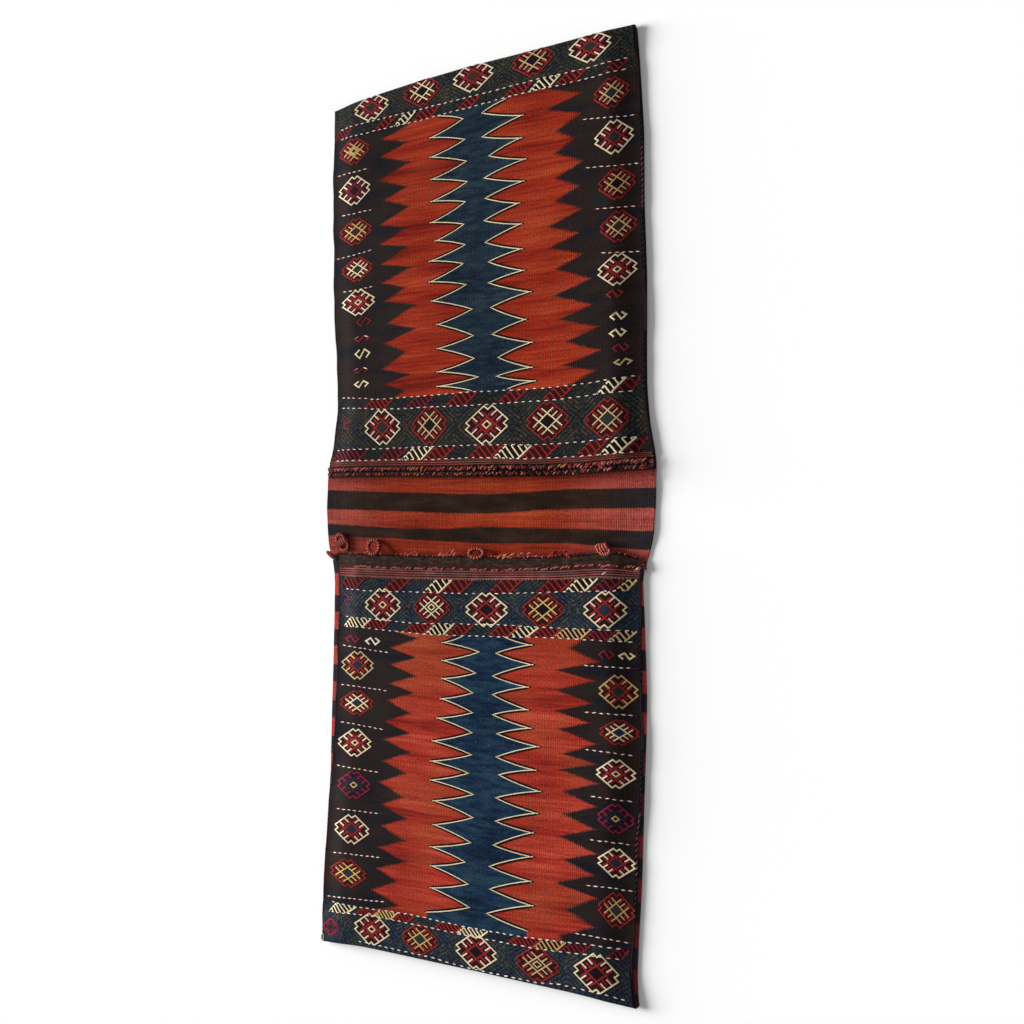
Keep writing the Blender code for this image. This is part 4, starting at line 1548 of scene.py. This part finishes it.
def build_closing_loop(index, x, y, half_width, half_length, lean, tints):
    """A ring of wound wool sewn to the lower mouth, lying over on to the bridge."""
    shape = Shape()
    core, *ticks = tints
    rise = float(rise_at(x, -80.0))
    high = float(front_height(LOWER, x, -75.0, rise))
    bundled = index in (1, 4)
    ring = []
    for angle in np.linspace(0.0, 2 * math.pi, 32, endpoint=False):
        across, along = math.cos(angle), math.sin(angle)
        z = mix(high + 1.0, CLOTH + 5.0, (along + 1) / 2)
        ring.append(sighted(x + (half_width - LOOP_TUBE) * across + lean * half_length * along,
                            y + (half_length - LOOP_TUBE) * along, z))
    ring = np.array(ring)
    shape.strand(ring, LOOP_TUBE * 0.8 / 1000, DYES[core], 8, closed=True)
    centre = ring.mean(axis=0)
    for number, point in enumerate(ring):
        outward = point - centre
        outward /= np.linalg.norm(outward)
        if bundled:
            outward = np.array([0.55, -0.83, 0.0])
        if number % 2:
            point = point + np.array([0.0, 0.0, 0.0020])
            reach = 0.0030 * random.uniform(0.8, 1.2)
            stitch(shape, point - outward * reach * 0.6, point + outward * reach, 0.0009, 0.0012,
                   ticks[number // 2 % 2])
    if bundled:
        slant = np.array([0.0030, -0.0052, 0.0])
        for number in range(9):
            place = centre + np.array([0.0019 * (number - 4), 0.0010 * (number - 4), 0.0030])
            stitch(shape, place - slant, place + slant, 0.0009, 0.0014,
                   (core, ticks[0], core, ticks[1])[number % 4])
    trim(shape, f"closing_loop_{index}")


# Frayed places of the lower mouth's edge: centre, half width, rise of the strands and tints
TUFTS = (
    (-108, -65.5, 13, -0.2, ("orange", "pink", "magenta", "rose")),
    (-40, -65.5, 13, 1.3, ("pink", "rose", "rose", "pink")),
    (59, -71.0, 11, 0.5, ("yellow", "orange", "apricot", "rose")),
    (91, -72.0, 9, None, ("pink", "rose", "wine")),
    (151, -70.0, 12, None, ("red", "wine", "rose", "red")),
)


def build_tuft(index, x, y, half_width, climb, tints):
    shape = Shape()
    for number in range(15):
        place = sighted(x + half_width * (number / 7 - 1) + random.uniform(-1.0, 1.0),
                        y + random.uniform(-3.0, 3.0), random.uniform(12.0, 15.0))
        tint = random.choice(tints)
        if climb is None:
            curl(shape, place, 0.0034, random.uniform(0.6, 1.1), 0.0010, tint)
            continue
        reach = random.uniform(0.0026, 0.0044)
        half = np.array([1.0, climb + random.uniform(-0.3, 0.3), 0.0])
        half *= reach / np.linalg.norm(half)
        stitch(shape, place - half, place + half, 0.0010, 0.0014, tint)
    trim(shape, f"edge_tuft_{index}")


def build_side_knot():
    """Wound yarn at the left end of the lower mouth, with a pale tip."""
    shape = Shape()
    for number in range(9):
        t = number / 8
        place = sighted(mix(-267.0, -256.0, t), mix(-60.5, -67.0, t), 8.5)
        half = np.array([-0.0012, 0.0052 * (1 - 0.4 * abs(2 * t - 1)), 0.0])
        stitch(shape, place - half, place + half, 0.0014, 0.0024,
               ("rose", "pink", "wine", "orange")[number % 4])
    tip = sighted(-255.5, -72.0, 8.0)
    stitch(shape, tip - np.array([0.001, 0.003, 0.0]), tip + np.array([0.001, 0.003, 0.0]),
           0.0011, 0.001, "blush")
    trim(shape, "side_knot")


def build_corner_loop():
    shape = Shape()
    ring = []
    for t in np.linspace(0, 2 * math.pi, 20, endpoint=False):
        ring.append(sighted(-266 + 2.6 * math.cos(t), -646 + 4.8 * math.sin(t), 9.0))
    shape.strand(ring, 0.0008, DYES["cream"], 6, closed=True)
    trim(shape, "corner_loop")


# Assembly

UPPER_TEETH = tooth_rows(UPPER, UPPER_BLUE_LEFT, UPPER_BLUE_RIGHT, UPPER_RED_LEFT,
                         UPPER_RED_RIGHT)
LOWER_TEETH = tooth_rows(LOWER, LOWER_BLUE_LEFT, LOWER_BLUE_RIGHT, LOWER_RED_LEFT,
                         LOWER_RED_RIGHT)

CLOTH_MATERIALS = (
    front_weave("upper_front_weave", UPPER, 0.06, UPPER_RED, UPPER_BLUE, UPPER_GROUND, 0.15),
    front_weave("lower_front_weave", LOWER, 0.54, LOWER_RED, LOWER_BLUE, LOWER_GROUND, 0.35),
    striped_weave(),
    inside_weave(),
)

cloth = build_cloth(CLOTH_MATERIALS)
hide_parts("woven_cloth")
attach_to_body(cloth, "root")

figure_wool = yarn_wool("figure_wool", 700.0)
for pouch, guards, name, lines in (
        (UPPER, UPPER_GUARDS, "woven_figures_upper", (UPPER_BLUE_LEFT, UPPER_BLUE_RIGHT)),
        (LOWER, LOWER_GUARDS, "woven_figures_lower", (LOWER_BLUE_LEFT, LOWER_BLUE_RIGHT))):
    attach(build_figures(pouch, guards, lines, name, figure_wool))

for pouch, label in ((UPPER, "upper"), (LOWER, "lower")):
    for hand, side in ((-1, "left"), (1, "right")):
        build_selvedge(pouch, hand, f"side_seam_{label}_{side}")
for row in range(2):
    build_plait(row)
build_edge_cord_with_painted_shadow()
build_overcast()
for index, loop in enumerate(CLOSING_LOOPS, start=1):
    build_closing_loop(index, *loop)
for index, tuft in enumerate(TUFTS, start=1):
    build_tuft(index, *tuft)
build_side_knot()
build_corner_loop()


# Floor, light and camera


FLOOR_REACH = 12.0
SKY_STRENGTH = 0.24
BACKDROP_STRENGTH = 1.0
SENSOR_WIDTH = 36.0
# Focal length and width of the picture, both in its pixels
FOCAL_PIXELS = 1108.0
PICTURE_PIXELS = 1024.0


def build_floor():
    mesh = bpy.data.meshes.new("floor")
    corners = [(-FLOOR_REACH, -FLOOR_REACH, 0), (FLOOR_REACH, -FLOOR_REACH, 0),
               (FLOOR_REACH, FLOOR_REACH, 0), (-FLOOR_REACH, FLOOR_REACH, 0)]
    mesh.from_pydata(corners, [], [(0, 1, 2, 3)])
    mesh.materials.append(Graph("floor", 0.9).finish(dye(255, 255, 255)))
    linked("floor", mesh)


def build_world():
    """Even soft light, and white behind the floor."""
    world = bpy.data.worlds.new("soft_sky")
    bpy.context.scene.world = world
    world.use_nodes = True
    tree = world.node_tree
    sky = tree.nodes["Background"]
    backdrop = tree.nodes.new("ShaderNodeBackground")
    for node, strength in ((sky, SKY_STRENGTH), (backdrop, BACKDROP_STRENGTH)):
        node.inputs["Color"].default_value = (1.0, 1.0, 1.0, 1.0)
        node.inputs["Strength"].default_value = strength
    path = tree.nodes.new("ShaderNodeLightPath")
    chosen = tree.nodes.new("ShaderNodeMixShader")
    tree.links.new(path.outputs["Is Camera Ray"], chosen.inputs["Fac"])
    tree.links.new(sky.outputs["Background"], chosen.inputs[1])
    tree.links.new(backdrop.outputs["Background"], chosen.inputs[2])
    tree.links.new(chosen.outputs["Shader"], tree.nodes["World Output"].inputs["Surface"])


def build_sun(name, direction, angle, strength):
    """Light from far away whose disc is as many degrees wide as the angle."""
    lamp = bpy.data.lights.new(name, "SUN")
    lamp.angle = math.radians(angle)
    lamp.energy = strength
    holder = linked(name, lamp)
    holder.rotation_euler = Vector(direction).to_track_quat("Z", "Y").to_euler()


def build_camera():
    camera = bpy.data.cameras.new("camera")
    camera.sensor_width = SENSOR_WIDTH
    camera.lens = FOCAL_PIXELS / PICTURE_PIXELS * SENSOR_WIDTH
    across = Vector((0.85500, 0.00299, -0.51862))
    up = Vector((0.03761, 0.99699, 0.06775))
    turn = Matrix((across, up, across.cross(up))).transposed()
    holder = linked("camera", camera)
    holder.matrix_world = Matrix.Translation((0.86895, -0.13524, 1.33768)) @ turn.to_4x4()
    bpy.context.scene.camera = holder


build_floor()
build_world()
build_sun("key", (-0.96, 0.12, 0.31), 32.0, 7.4)
build_sun("fill", (0.4, -0.3, 1.0), 40.0, 0.15)
build_camera()
bpy.context.scene.view_settings.view_transform = "Standard"
